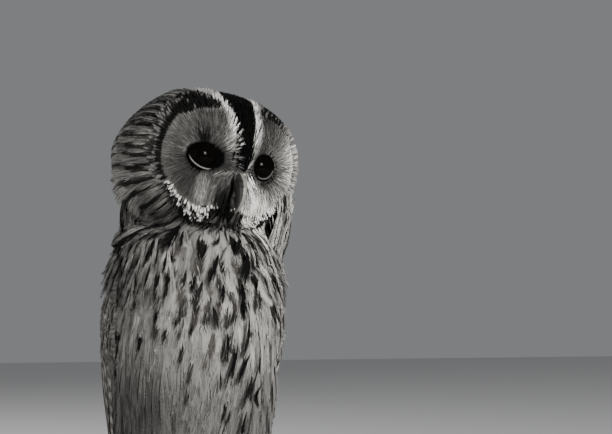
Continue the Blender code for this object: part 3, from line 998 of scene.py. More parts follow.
def ruff_parts(h):
    """Shares of the black upper rim, the plain side and the white lower rim."""
    bearing = rim_bearing(h)
    low = span(bearing, -150, -125, -50, -36)
    high = step(46, 68, bearing)
    return high, (1 - high) * (1 - low), low


def beads_from(bearing):
    """Where the white lower rim begins, as a share of the way to the rim."""
    return 0.95 - 0.17 * step(-60, -110, bearing)


def chin_soot_and_shade(h):
    """The sooty feathers beside and below the bill, wider on the owl's right; beside the bill the dark is partly
    painted shade, stronger on the owl's right.
    """
    side, up = h[:, 0], h[:, 2]
    beside = span(side, -0.0105, -0.0075, 0.0065, 0.0090) * step(-0.010, -0.014, up)
    beside = beside * (1 - 0.6 * step(-0.001, 0.001, side))
    below = span(side, -0.0115, -0.0085, 0.0100, 0.0130) * step(-0.0255, -0.0285, up)
    return np.maximum(beside, below)


print("white rim from", beads_from(-110.0).round(2), "to", beads_from(-60.0).round(2), "of the way out")

# %% [markdown]
# The tones of the face are laid over one another like coats of paint, from the grey of the discs to the
# white bands, the black stripe and the black lids, each with a share that says where it covers. The owl's
# left half, far, is lit and marked differently from its right half, near.

# %% Tone of the face
BLACK, SOOT, SNOW = 0.0012, 0.006, 0.84


def blend(a, b, share):
    """a where the share is 0, b where it is 1."""
    return a * (1 - share) + b * share


def painted(light, *coats):
    """Lays (tone, share) coats over a lightness, one after another."""
    for tone, share in coats:
        light = blend(light, tone, share)
    return light


def face_light(h):
    """How light the face is, from 0 to 1."""
    across, up = np.abs(h[:, 0]), h[:, 2]
    far = step(-0.003, 0.004, h[:, 0])
    near = 1 - far
    rim, ring, bearing, lid, off = rim_away(h), eye_away(h), eye_bearing(h), almond(h), off_stripe(h)
    high, plain, low = ruff_parts(h)
    beads = beads_from(rim_bearing(h))
    light = 0.062 + 0.058 * span(rim, 0.60, 0.78, 0.90, 0.98) + 0.02 * span(bearing, -10, 25, 60, 85)
    light = light + far * (0.01 + 0.42 * step(0.013, 0.020, ring) * step(62, 25, bearing))
    light = light - 0.028 * span(bearing, -100, -70, -28, 0) * step(0.029, 0.023, ring)
    light = light + (0.075 + 0.20 * far) * step(-0.009, -0.0125, up) * span(across, 0.004, 0.009, 0.018, 0.024)
    light = light + 0.10 * near * span(up, -0.027, -0.022, -0.0125, -0.010) * span(
        across, 0.0145, 0.0175, 0.0215, 0.0245)
    light = painted(
        light,
        (0.34, low * step(beads - 0.28, beads - 0.06, rim) * step(0.028, 0.020, across)),  # under the disc
        (0.60, low * step(beads - 0.03, beads + 0.03, rim)),  # the white lower rim
        (0.86, far * step(-0.010, -0.020, up) * span(across, 0.002, 0.006, 0.032, 0.040)),  # under the left eye
        # painted shade beside the bill on the owl's left
        (0.12, 0.85 * far * step(0.0110, 0.0085, across) * span(up, -0.021, -0.018, -0.013, -0.011)),
        # the sooty chin, and beside the bill partly painted shade
        (SOOT, chin_soot_and_shade(h)),
        (0.004, high * step(0.82, 0.87, rim)),  # the black upper rim
        (blend(0.015, 0.20, far), plain * step(0.955, 0.975, rim)),
        (0.006, low * step(1.00, 1.02, rim)),  # the line outside the white
        (0.035, far * step(0.012, 0.020, ring) * step(65, 85, bearing) * (bearing < 150) * step(0.95, 0.9, rim)),
    )
    light = light * (0.42 + 0.58 * step(1.02, 1.40, lid))  # darker near the lids
    in_front = (up > -0.0068) * (h[:, 1] < -0.012 + 0.006 * step(0.030, 0.036, up))
    near_band = blend(0.10 + 0.20 * step(0.002, 0.008, up), SNOW, step(0.012, 0.022, up))
    snowy = np.where(h[:, 0] < 0.002, near_band, blend(0.60, SNOW, step(0.02, 0.03, up)))
    return painted(
        light,
        # painted shade under the left eye, between the eye and the cheek
        (0.15, 0.75 * far * span(bearing, -74, -58, -26, -12) * span(ring, 0.0115, 0.0135, 0.0205, 0.0235)),
        # painted shadow of the brow and upper lid over the right eye
        (0.006, near * span(bearing, 54, 64, 88, 100) * step(1.85, 1.45, lid)),  # over the right eye
        # a painted reflection on the lid's edge at the right eye's upper outer corner
        (0.11, near * span(lid, 1.02, 1.06, 1.12, 1.20) * span(bearing, 0, 8, 30, 42)),  # its outer corner
        (snowy * (1 - 0.45 * step(0.030, 0.040, up)), step(0.0012, -0.0010, off - band_out(h)) * in_front),
        (BLACK, step(0.0008, -0.0004, off - stripe_half(h)) * in_front),  # the stripe
        (BLACK, step(1.06, 1.00, lid)),  # the bare lids
    )


print("tones:", BLACK, "to", SNOW)

# %% [markdown]
# The hood is grey on the cheeks' outer side, darker over the crown and brownish behind. The stripe runs on
# over the crown, and the owl's left cheek has a white patch with a black bar across it.

# %% Tone of the crown, the cheeks and the nape
def hood_light(h):
    """How light the crown, the cheeks' outer side and the nape are."""
    side, back, up = h.T
    rim, bearing = rim_away(h), rim_bearing(h)
    crown = step(0.004, 0.024, up)
    light = 0.235 - 0.14 * crown - 0.145 * step(-0.016, -0.032, up)
    reach = np.where(side < 0.0034, 0.008, 0.014)
    stripe = step(reach + 0.003, reach - 0.002, off_stripe(h)) * crown * step(0.02, 0.0, back)
    cheek = step(0.0, 0.006, side) * step(0.004, -0.008, back) * span(bearing, -100, -85, -10, 20)
    return painted(
        light,
        (BLACK, stripe),
        (0.34, span(side, -0.024, -0.018, -0.006, -0.003) * step(0.036, 0.039, up) * step(0.016, 0.004, back)),
        (0.11, 0.7 * step(0.0, 0.03, back) * (1 - stripe)),
        (0.48, cheek),
        (BLACK, cheek * span(rim, 1.06, 1.10, 1.15, 1.20) * span(bearing, -72, -62, -42, -34)),
    )


print("left cheek and nape:", hood_light(np.array([[0.04, -0.01, -0.01], [0.0, 0.04, 0.0]])).round(2))

# %% [markdown]
# Each feather carries eight numbers for its nodes: its ground colour and a chance of its own, and the
# widths and strengths of its marks with their lightness.

# %% Colours and marks of a feather
def greys(light, warm=0.5):
    """Colours of that lightness, from cold grey (warm 0) to the warm grey of old paper (1)."""
    light = np.asarray(light, float)[:, None]
    tint = np.array([1.02, 1.0, 0.965]) * (1 - warm) + np.array([1.06, 1.0, 0.88]) * warm
    return light * tint


def look(light, chance, warm=0.5):
    """The ground colours and chances that feathers carry."""
    return np.column_stack([greys(light, warm), chance])


def marks(streak, bars, tip, dark, n):
    """Shaft streak's half width, strength of bars, tip (0 dark, 0.5 none, 1 white), lightness of the marks."""
    return np.column_stack([np.broadcast_to(v, n) for v in (streak, bars, tip, dark)])


print("paper grey:", greys([0.5], 1.0).round(2))

# %% [markdown]
# Each tract of the head roots in its own zone of the skin, as a real owl's feathers grow in tracts. The
# zones use the same outlines as the tones, and each leaves out those that come before it.

# %% Zones of the head
HEAD_TRIS = np.isin(SKIN_KIND[TRIS], ("head", "eye")).any(axis=1)
TRI_HEAD = to_head(TRI_MIDDLE)
aside, back, up = TRI_HEAD.T
across = np.abs(aside)
front = HEAD_TRIS & (back < -0.008)
rim, lid, off, bearing = rim_away(TRI_HEAD), almond(TRI_HEAD), off_stripe(TRI_HEAD), rim_bearing(TRI_HEAD)
dark_out, white_out = stripe_half(TRI_HEAD), band_out(TRI_HEAD)
high_rim, _, low_rim = ruff_parts(TRI_HEAD)
clear = np.where(aside < curve(STRIPE_MIDDLE, up), 0.0030, 0.0004)
stripe_zone = front & (off < dark_out + 0.6 * clear) & (up > -0.0066)
band_zone = (HEAD_TRIS & (off > dark_out + clear) & (off < white_out + 0.001) & (up > -0.006) & (lid > 1.02)
             & (back < -0.016 + 0.009 * step(0.030, 0.036, up)))
bill_zone = front & (across < 0.0050) & (up < -0.0065) & (up > -0.031)
chin_zone = front & (aside > -0.0095) & (aside < 0.0120) & (up < -0.027) & ~bill_zone
left_over = HEAD_TRIS & ~stripe_zone & ~band_zone & ~chin_zone
inner = blend(blend(0.99, 0.88, high_rim), beads_from(bearing), low_rim)
outer = 1.05 + 0.05 * (1 - high_rim) * (low_rim < 0.01) + 0.04 * low_rim * (aside > 0)
disc_zone = (left_over & front & ~bill_zone & (rim < inner - 0.0050 / curve(RIM, bearing)) & (lid > 1.04)
             & ((off > white_out) | (up < -0.005)))
ruff_zone = left_over & (back < 0.0) & (rim > inner - 0.05) & (rim < outer)
hood_zone = (left_over & ~disc_zone & ~bill_zone & ((rim > 1.03) | (back > -0.010))
             & ((across > 0.007) | (up > -0.02) | (back > 0)))
print("face:", int(disc_zone.sum()), "disc,", int(ruff_zone.sum()), "ruff,", int(hood_zone.sum()), "hood triangles")

# %% [markdown]
# The feathers of a facial disc are thin and stiff with few barbs, and stand like rays round the eye. Those
# near the eye are the shortest. They lie almost flat, so that the disc stays a smooth dish.

# %% Facial discs
def from_eye(h):
    """The lie of the face: away from the nearer eye, and down beside the bill."""
    sign = np.sign(h[:, 0])
    away = unit(ways(len(h), h[:, 0] - sign * EYE_ACROSS, 0, h[:, 2]))
    down = (step(0.020, 0.013, np.abs(h[:, 0])) * step(-0.004, -0.010, h[:, 2]))[:, None]
    return away * (1 - down) + down * ways(len(h), 0.22 * sign, 0, -1)


rays = vane(7, slant=0.95, whole=0.35, base=0.03, shaft=0.10, roundness=0.6)
for side, sign in SIDES:
    roots, n, hh, chance = tract(disc_zone & (aside * sign > 0), 0.0012, 1)
    ring = eye_away(hh)
    inside = step(0.010, 0.020, ring) * (1 - 0.8 * step(0.50, 0.76, rim_away(hh)))
    light = face_light(hh) * stray(0.24, n)
    feather(f"disc_{side}", rays, roots, look(light.clip(BLACK, 0.8), chance, 0.35),
            marks(0.20 * (chance > 0.5), 0.10 * chance, 0.5, 0.03, n), lie=from_head(from_eye(hh)),
            length=0.0042 + 0.0060 * inside, half_width=0.0004 + 0.0004 * inside, softness=0.85,
            rise=(0.08, 0.62), ragged=0.25, fluff=0.00012, camber=0.05, twist=0.06, seed=21, **ON_FACE)

# %% [markdown]
# The black stripe of the brow is made of stiff dark bristles that point up and cover its edge. The white
# bands on each side of it are short feathers that point away from the eyes, so their tips run into the
# black. On the owl's left they stand steeper and mix with a few dark ones.

# %% Stripe and white bands of the brow
bristle = vane(6, slant=0.9, whole=0.35, base=0.04, shaft=0.12, roundness=0.6)
roots, n, hh, chance = tract(stripe_zone, 0.0021, 3)
lie = from_head(ways(n, hh[:, 0] * 0.5, 0.2, 1))
feather("stripe", bristle, roots, look(BLACK * (0.6 + chance), chance, 0.2), marks(0, 0, 0.5, 0.002, n), lie=lie,
        length=0.0075 + 0.003 * chance, half_width=0.0012 + 0 * chance, **ON_FACE,
        softness=0.8, rise=(0.1, 0.85), ragged=0.3, fluff=0.0002, seed=22)

roots, n, hh, chance = tract(band_zone, 0.0017, 4)
sign = np.sign(hh[:, 0])
upward = step(0.010, 0.034, hh[:, 2])
far = step(0.0, 0.004, hh[:, 0])
lie = from_eye(hh) * ((1 - 0.55 * upward) * (1 - 0.8 * far))[:, None]
lie = lie + np.column_stack([0.1 * sign + 0.25 * far, 0.45 * upward, 0.75 * upward + 0.12 + 0.8 * far])
edge = step(0.0, 0.004, band_out(hh) - off_stripe(hh))
light = blend(0.5, 1.0, edge) * face_light(hh) * stray(0.28, n)
light = np.where((chance < 0.30 * far) & (hh[:, 2] > -0.002), 0.03, light)
light = light.clip(0.05, 0.86) * (1 - 0.25 * step(0.032, 0.038, hh[:, 2]))
feather("brow", bristle, roots, look(light.clip(0.1, 0.85), chance, 0.2),
        marks(0.14 * (chance > 0.7), 0.0, 0.5, 0.03, n), lie=from_head(lie),
        length=0.0048 + 0.0014 * chance + 0.0028 * far, half_width=0.0007 + 0.0002 * chance, softness=0.75,
        rise=(0.15, 0.95), lift=0.0005, ragged=0.3, fluff=0.0003, seed=23, **ON_FACE)

# %% [markdown]
# The ruff is a row of short, dense feathers that curve round each disc. Above they are black, at the sides
# speckled, and below white with black bars, which gives a string of beads.

# %% Ruff round the discs
short = vane(7, slant=0.5, whole=0.6, base=0.06, shaft=0.05, roundness=0.5)
for name, zone, spacing, size in (("ruff", ruff_zone & (low_rim < 0.5), 0.0014, 1.0),
                                  ("beads", ruff_zone & (low_rim >= 0.5), 0.00125, 0.78)):
    roots, n, hh, chance, other = tract(zone, spacing, 5, 2)
    sign = np.sign(hh[:, 0])
    high, side_part, low = ruff_parts(hh)
    far, plain = step(0.0, 0.004, hh[:, 0]), 1 - chin_soot_and_shade(hh)
    outside = step(0.96 + 0.04 * far, 0.99 + 0.04 * far, rim_away(hh))
    lie = from_head(ways(n, hh[:, 0] - sign * RIM_ACROSS * 0.9, 0.008, hh[:, 2] + RIM_BELOW))
    mottled = blend(0.004, 0.022 + 0.095 * (other > 0.5), step(0.975, 1.0, rim_away(hh)))
    dots = blend(mottled, 0.05 + 0.35 * other, far)
    light = high * (0.004 + 0.07 * (other > 0.90)) + side_part * dots
    light = light + low * blend(np.where(other > 0.44 - 0.25 * far, 0.80, 0.008), 0.004, outside)
    # sooty chin feathers, and beside the bill painted shade
    light = blend(light, SOOT, 1 - plain)
    tip = 0.5 + (0.40 * (chance > 0.80) * (plain > 0.9) - 0.45 * (chance < 0.45)) * low * (1 - outside)
    feather(name, short, roots, look((light * stray(0.1, n)).clip(BLACK, 0.85), chance, 0.25),
            marks(0.0, 0.5 * low * (1 - outside) * plain, tip, 0.003, n), lie=lie,
            length=(0.0030 + 0.0008 * chance) * size, half_width=0.0008 * size, rise=(0.1, 0.9),
            lift=0.0004, ragged=0.2, fluff=0.00015, seed=24, **ON_FACE)

# %% [markdown]
# The chin's feathers are loose, long and sooty, and hang down under the bill.

# %% Chin
roots, n, hh, chance = tract(chin_zone, 0.0023, 6)
light = (0.004 + 0.03 * (chance > 0.80)) * stray(0.15, n)
lie = from_head(ways(n, hh[:, 0] * 20 - 0.1, -0.15, -1))
feather("chin", bristle, roots, look(light.clip(BLACK, 0.82), chance, 0.3),
        marks(0.2 * (chance < 0.4), 0, 0.5, 0.01, n), lie=lie,
        length=0.0095 + 0.004 * chance, half_width=0.0012 + 0.0004 * chance, rise=(0.1, 1.0),
        lift=0.0012, ragged=0.35, fluff=0.0004, seed=25, **ON_FACE)

# %% [markdown]
# Stiff, thin bristles cover the base of the bill. Those in the middle stand up over it, those at the sides
# point outwards and down, and on the owl's left they are nearly white.

# %% Bristles at the base of the bill
near_lores = (aside > -0.0085) & (aside < -0.0026)
far_lores = np.abs(aside - 0.0082 + 0.25 * np.minimum(0, up + 0.010)) < 0.0022
over_bill = (across < 0.004) & (up > -0.0088)
lores = front & (up < -0.0058) & (up > -0.020) & (lid > 1.02) & (near_lores | far_lores | over_bill)
whisker = vane(4, slant=1.2, whole=0.3, base=0.02, shaft=0.16, roundness=0.5)
roots, n, hh, chance = tract(lores, 0.0014, 7)
sign = np.sign(hh[:, 0])
lower = step(-0.006, -0.016, hh[:, 2])
beside = step(0.0012, 0.0035, np.abs(hh[:, 0]))
far = hh[:, 0] > 0.004
spread = np.where(far, 0.55, sign * (0.25 + beside * (0.75 - 0.55 * lower)))
lie = from_head(ways(n, spread, -0.2, -0.6 - 0.7 * lower))
near_light = np.where(chance > 0.5, blend(0.10, 0.012, lower), blend(0.08, 0.008, lower))
light = np.where(far, blend(0.80, 0.30, step(-0.010, -0.015, hh[:, 2])), near_light) * stray(0.2, n)
feather("bristles", whisker, roots, look(light.clip(0.01, 0.85), chance, 0.2), marks(0, 0, 0.5, 0.02, n), lie=lie,
        length=blend(0.0065, 0.0080 + 0.0050 * chance, beside), half_width=0.00050 + 0.0002 * chance,
        **ON_FACE, rise=(0.2, 0.9), lift=0.0012 + 0.0034 * (1 - beside), ragged=0.3,
        fluff=0.0003, seed=26)

# %% [markdown]
# The crown's feathers lie backwards from the bill, the cheeks' turn down behind the ruff. Dark rows
# alternate with pale ones in arcs round the head. Each row wavers, so that it doesn't look ruled.

# %% Crown, cheeks and nape
hood = vane(13, slant=0.8, whole=0.5, base=0.05, roundness=0.65)
for side, half in SIDES:
    roots, n, hh, chance, _ = tract(hood_zone & (aside * half > 0), 0.0024, 8, 2)
    sign = (hh[:, 0] / 0.015).clip(-1, 1)
    top = step(0.030, 0.042, hh[:, 2])
    behind = step(0.005, 0.040, hh[:, 1])
    under = step(-0.012, -0.034, hh[:, 2])
    lie = np.column_stack([sign * 0.15 * (1 - top), 1.0 - 0.5 * behind, -0.04 - 0.75 * behind - 0.8 * under])
    crown = step(0.004, 0.024, hh[:, 2])
    turn = np.arctan2(hh[:, 2], np.abs(hh[:, 0]))
    row = 0.050 * turn + 0.0006 * np.sin(hh[:, 1] / 0.004) + 0.0004 * rng.normal(0, 1, n)
    arcs = np.sin(row / 0.00098 + 0.8 * np.sin(row / 0.0031)) * (1 - 0.5 * step(0.02, 0.04, hh[:, 1]))
    dark = step(0.10 - 0.45 * crown, 0.70 - 0.35 * crown, arcs)
    dark = dark * (1 - 0.8 * step(0.0, 0.006, hh[:, 0]) * step(0.014, -0.006, hh[:, 1]))
    drop = step(-0.012, -0.026, hh[:, 2]) * step(-0.020, -0.004, hh[:, 1])
    light = hood_light(hh) * stray(0.18, n) * blend(1.35, 0.07, dark) * (1 + 0.8 * drop)
    lie[:, 1] *= 1 - 0.75 * drop
    feather(f"hood_{side}", hood, roots, look(light.clip(BLACK, 0.7), chance, 0.45),
            marks(0.12 + 0.10 * crown, 0.12, 0.5, 0.006, n), lie=from_head(lie),
            length=0.0165 + 0.006 * (chance + drop), half_width=0.0014 + 0.0004 * chance + 0.0012 * drop,
            slot="head_plumage", softness=0.7, rise=(0.08, 0.92), lift=0.0062 * drop,
            ragged=0.22, fluff=0.0003, seed=27)

# %% [markdown]
# ## The body's coat
#
# Breast and belly are pale and silky, with a dark streak along each shaft: broad, blurred and crowded on
# the upper breast, long, thin and far apart on the belly. The flanks are almost plain. The back and the
# wing coverts are mottled grey with streaks and cross bars, with a row of white outer webs along the
# shoulder.

# %% Lie and tone of the body
body_zone = np.isin(TRI_KIND, ("trunk", "neck"))


def body_lie(roots):
    """The lie of the body's coat: down, back on the flanks, and round the neck."""
    at, out = roots["at"], roots["out"]
    back = step(-0.1, 0.7, out[:, 1])
    neck = step(0.205, 0.235, at[:, 2])
    return ways(len(at), -0.16 * (1 - back) * (1 - neck) + 0.45 * neck * out[:, 0], 0.10 + 0.55 * back, -1)


def body_light(at, out):
    """How light the body is under its streaks."""
    neck = step(0.212, 0.236, at[:, 2])
    back = step(0.25, 0.6, out[:, 1])
    side = step(-0.010, -0.030, at[:, 0]) * neck
    light = 0.30 - 0.16 * step(0.21, 0.16, at[:, 2]) - 0.06 * neck - 0.07 * side
    return blend(light, 0.15, back)


print("body:", int(body_zone.sum()), "triangles")

# %% [markdown]
# Under the outer feathers lies down, broad, soft and without streaks. It fills what the pointed feathers
# leave open, so that the skin never shows.

# %% Down
under_zone = body_zone & ((FACES_BACK < 0.5) | (HEIGHT < 0.11))
down = vane(10, slant=0.7, whole=0.35, base=0.03, shaft=0.04)
roots, n, _, chance = tract(under_zone, 0.0060, 9)
light = body_light(roots["at"], roots["out"]) * stray(0.08, n)
feather("under_down", down, roots, look(light.clip(0.15, 0.8), chance, 0.4), marks(0.0, 0.10, 0.5, 0.15, n),
        lie=body_lie(roots), length=0.018 + 0.006 * chance, half_width=0.0052 + 0.001 * chance,
        slot="breast_plumage", rise=(0.05, 0.75), ragged=0.25, fluff=0.0004, seed=31)

# %% [markdown]
# The feathers of breast and belly are long, with loose silky barbs. On the breast most of them carry a
# broad, blurred streak. On the belly most are plain, because its bold streaks are laid on one by one below.

# %% Breast and belly
frontal = body_zone & (FACES_BACK < 0.42) & (HEIGHT > 0.05)
contour = vane(24, slant=1.05, whole=0.42, base=0.04, shaft=0.015, roundness=0.75, full=0.72)
roots, n, _, chance, other = tract(frontal, lambda at: 0.0060 + 0.0016 * step(0.20, 0.12, at[:, 2]), 10, 2)
at, out = roots["at"], roots["out"]
belly = step(0.205, 0.180, at[:, 2])
flank = step(0.50, 0.80, np.abs(out[:, 0])) * step(0.235, 0.21, at[:, 2])
neck = step(0.212, 0.236, at[:, 2])
light = body_light(at, out) * stray(0.22 * (1 - 0.75 * belly), n)
to_left = step(0.012, 0.030, at[:, 0])
plain = other < 0.16 + 0.50 * belly + 0.5 * flank + 0.45 * belly * to_left
width = np.where(plain, 0.0, blend(0.30 + 0.45 * rng.random(n), 0.22, belly))
feather("breast", contour, roots, look(light.clip(0.12, 0.85), chance, 0.35),
        marks(width, 0.04 + 0.12 * neck, 0.5, 0.003 + 0.07 * rng.random(n) ** 2, n), lie=body_lie(roots),
        length=0.024 + 0.012 * belly + 0.005 * chance, half_width=0.0055 + 0.0014 * belly,
        slot="breast_plumage", softness=0.75, rise=(0.10, 0.95), ragged=0.16, fluff=0.00035,
        camber=0.08, twist=0.10, seed=32)

# %% [markdown]
# Long, plain, silky feathers hang down the flanks over the wing's front edge and fill the outline between
# the breast and the legs.

# %% Flanks
flank_zone = (body_zone & (np.abs(FACES_LEFT) > 0.62) & (FACES_BACK < 0.35)
              & (HEIGHT > 0.128) & (HEIGHT < 0.176))
silk = vane(24, slant=1.1, whole=0.6, base=0.04, shaft=0.012, roundness=0.8, full=0.7)
roots, n, _, chance = tract(flank_zone, 0.0062, 17)
low = step(0.165, 0.140, roots["at"][:, 2])
light = body_light(roots["at"], roots["out"]) * stray(0.07, n)
feather("flank_plumes", silk, roots, look(light, chance, 0.35), marks(0.10 * (chance > 0.55), 0.06, 0.5, 0.02, n),
        lie=ways(n, 0, 0.12, -1), length=0.036 + 0.008 * chance,
        half_width=0.0064 + 0.001 * chance, slot="breast_plumage", softness=0.75,
        rise=(0.3, 1.1), lift=0.0030 + 0.0045 * low, ragged=0.14, fluff=0.0003, camber=0.08, twist=0.08, seed=36)

# %% [markdown]
# The boldest streaks are listed one by one, each a long dark feather bent along its own line. The lines are
# drawn on a plane that faces the owl from its front and right, and dropped on the skin from there.

# %% Bold streaks of the breast and belly
VIEW_TURN = math.radians(-12)
VIEW_RIGHT = np.array([math.cos(VIEW_TURN), math.sin(VIEW_TURN), 0])
VIEW_BACK = np.array([-math.sin(VIEW_TURN), math.cos(VIEW_TURN), 0])
FACING = 0.50  # a spot moves in from the outline until the skin faces the plane this much
STREAK_HEIGHT = 0.007  # how high the feathers lie over the skin
# Half width, lightness, then places along the line: right of the skull's middle and above the floor, in mm
STREAKS = [
    (1.8, 0.0015, (14, 184), (14.5, 174), (14, 161)), (1.8, 0.0015, (20, 180), (19, 167), (16, 158), (12, 148)),
    (1.8, 0.0015, (27, 197), (27.5, 182), (25, 170), (23, 165)), (2.0, 0.0015, (28, 170), (24, 160), (19, 149)),
    (0.8, 0.003, (36, 180), (39, 170), (35, 156)), (1.3, 0.0015, (38, 163), (37, 152), (32, 139)),
    (1.9, 0.0015, (29, 158), (28, 148), (22, 134)), (2.0, 0.0015, (32, 133), (30, 119)),
    (1.0, 0.003, (42, 152), (41, 141), (38, 132)), (1.0, 0.004, (9, 160), (9, 146)),
    (1.2, 0.003, (44, 128), (42, 114)),
    (2.4, 0.008, (5, 200), (8, 184)), (1.5, 0.006, (18, 197), (16, 186)),
    (4.2, 0.002, (-15, 248), (-21, 242), (-28, 233)), (2.2, 0.004, (-4, 244), (-5, 234), (-4, 226)),
    (2.0, 0.006, (9, 244), (4, 236)), (2.8, 0.002, (8, 232), (6, 222), (1, 211)),
    (2.4, 0.003, (11, 213), (10, 199)), (2.4, 0.010, (-2, 215), (-5, 203)), (1.6, 0.010, (-12, 222), (-14, 210)),
    (3.6, 0.002, (22, 243), (20, 230)), (4.2, 0.0015, (26, 233), (26, 223), (22, 208)),
    (2.6, 0.0015, (23, 214), (24, 205), (26, 192)), (2.4, 0.002, (32, 243), (32, 234)),
    (2.0, 0.005, (35, 232), (36, 223)),
    (2.6, 0.002, (33, 213), (34, 203), (37, 195)), (2.2, 0.002, (38, 224), (42, 215), (45, 207)),
    (2.6, 0.0015, (39, 206), (43, 197), (45, 184)), (1.2, 0.004, (37, 244), (41, 231)),
    (3.0, 0.33, (43, 239), (45, 230), (46, 216)), (3.4, 0.33, (35, 216), (40, 209), (45, 197)),
    (2.6, 0.33, (46, 232), (47, 222), (47, 210)), (3.2, 0.22, (4, 240), (2, 230), (-1, 220)),
    (3.2, 0.22, (15, 239), (14, 230), (12, 220)), (3.0, 0.22, (-9, 239), (-12, 228)),
]


def drop_on_skin(a, z):
    """Where a line from the plane meets the body's skin, and the outward normal there."""
    start = HEAD_ORIGIN * (1, 1, 0) + VIEW_RIGHT * a + (0, 0, z) - VIEW_BACK * 0.3
    hit, normal, tri, _ = skin_tree.ray_cast(start.tolist(), VIEW_BACK.tolist())
    if hit is None or SKIN_KIND[TRIS[tri, 0]] not in ("trunk", "neck"):
        return None, None
    normal = np.array(normal)
    return hit, -normal * np.sign(normal @ VIEW_BACK)


def streak_line(spots):
    """A streak's knots on the skin."""
    spots = np.array(spots, float) / 1000
    steps = np.linspace(0, 1, KNOTS) * (len(spots) - 1)
    right, high = (np.interp(steps, np.arange(len(spots)), spots[:, i]) for i in range(2))
    places = []
    for a, z in zip(right, high, strict=True):
        hit, away = drop_on_skin(a, z)
        while hit is None or -away @ VIEW_BACK < FACING:
            a, z = a - 0.001 * np.sign(a), z - 0.0007 * (z > 0.21)
            hit, away = drop_on_skin(a, z)
        again, _ = drop_on_skin(a - STREAK_HEIGHT * away @ VIEW_RIGHT, z - STREAK_HEIGHT * away[2])
        places.append(hit if again is None else again)
    places = np.array(places)
    off, middle = places @ VIEW_BACK, KNOTS // 2  # kept from running round the flank
    reach = 0.45 * np.abs(places[:, 2] - places[middle, 2])
    places += (np.clip(off, off[middle] - reach, off[middle] + reach) - off)[:, None] * VIEW_BACK
    return on_skin(places)[0]


at = eased(np.array([streak_line(spots) for _, _, *spots in STREAKS]), rounds=2)
_, out, deep = on_skin(at.reshape(-1, 3))
out, deep = out.reshape(at.shape), deep.reshape(at.shape[:2])
widths, tones = np.array([streak[0] for streak in STREAKS]) / 1000, np.array([streak[1] for streak in STREAKS])
low, pale = at[:, 0, 2] < 0.200, tones > 0.1
dark = vane(22, slant=0.8, whole=0.70, base=0.03, shaft=0.05, roundness=0.7)
crisp = vane(22, slant=0.8, whole=0.95, base=0.03, shaft=0.05, roundness=0.7)
patch = vane(22, slant=0.55, whole=0.35, base=0.02, shaft=0.02, roundness=0.5, full=0.6)
for name, chosen, streak, ragged in (
        ("breast_streaks", ~low & ~pale, dark, 0.22), ("belly_streaks", low, crisp, 0.10),
        ("breast_patches", pale, patch, 0.35)):
    roots = rooted(at[chosen, 0])
    n = roots["n"]
    feather(name, streak, roots, look(tones[chosen], rng.random(n), 0.4), marks(0, 0, 0.5, 0.003, n),
            length=run_length(at[chosen]), half_width=widths[chosen], slot="breast_plumage", softness=0.75,
            rise=(1.30, 1.50), lift=0.0035 * (widths[chosen] > 0.004), ragged=ragged, fluff=0.0004, camber=0.05,
            seed=33, line=run_of(at[chosen], out[chosen], deep[chosen]))

# %% [markdown]
# Large soft feathers hang from the sides and the back of the neck over the shoulders, like a collar, so
# that the head passes into the body without a waist.

# %% Collar
collar_zone = (body_zone & (HEIGHT > 0.222) & (HEIGHT < 0.250)
               & ((FACES_BACK > -0.2) | (FACES_LEFT < -0.45) | (FACES_LEFT > 0.75)))
roots, n, _, chance = tract(collar_zone, 0.0050, 12)
at, out = roots["at"], roots["out"]
pale = step(0.35, -0.1, out[:, 1])
feather("collar", contour, roots,
        look((blend(0.18, 0.27, pale) * stray(0.35, n)).clip(0.015, 0.5), chance, 0.4),
        marks(0.20 + 0.2 * rng.random(n), 0.2, 0.5, 0.005, n), lie=unit(out * (1, 1, 0)) * 0.25 + (0, 0, -1),
        length=0.021 + 0.006 * chance, half_width=0.0046 + 0.001 * chance,
        slot="wing_plumage", softness=0.75, rise=(0.4, 1.1),
        lift=0.0024 + 0.001 * chance + 0.002 * (1 - pale), ragged=0.2, fluff=0.0004, camber=0.08, twist=0.1, seed=34)

# %% [markdown]
# From the back and the sides of the head more of them reach down to the shoulders, straight over the
# hollow of the neck. Each one's shaft runs from the head's skin to the body's in a shallow arch.

# %% Nape
NAPE_FEATHERS, NAPE_DROP, NAPE_DEPTH = 460, 0.034, 0.0014
n = NAPE_FEATHERS
turns = rng.uniform(52, 295 + 32 * rng.random(n) ** 1.5, n)  # degrees round the neck, from its front to the left
near = step(285, 310, turns)
tops = 0.2450 - 0.005 * near + 0.026 * rng.random(n) * (1 - 0.7 * near)
left_cheek = np.exp(-(((turns - 84) / 26) ** 2)) * step(0.251, 0.262, tops)
turns = np.radians(turns)
aways = np.column_stack([np.sin(turns), -np.cos(turns), 0 * turns])
middle = np.array([HEAD_ORIGIN[0] * 0.7, HEAD_ORIGIN[1] * 0.7 + 0.002, 0])
share = np.linspace(0, 1, KNOTS)[:, None]
lines = []
for away, top, cheek in zip(aways, tops, left_cheek, strict=True):
    first, last = (np.array(skin_tree.ray_cast((middle + away * 0.15 + (0, 0, z)).tolist(), (-away).tolist())[0])
                   for z in (top, top - NAPE_DROP))
    arch = 0.0006 + 0.0022 * np.sin(share * math.pi) + 0.0065 * cheek * np.sin(share**0.45 * math.pi)
    lines.append(first * (1 - share) + last * share + away * arch)
at = np.array(lines)
along = along_of(at)
out = np.repeat(aways[:, None], KNOTS, axis=1)
out = unit(out - along * (out * along).sum(2, keepdims=True) / (along * along).sum(2, keepdims=True))
roots = rooted(at[:, 0])
chance = rng.random(n)
body = 0.14 + 0.15 * step(0.45, -0.05, out[:, 0, 1]) * step(-0.3, 0.5, out[:, 0, 0])
light = blend(hood_light(roots["h"]), body, 0.55 - 0.05 * near) * stray(0.40, n)
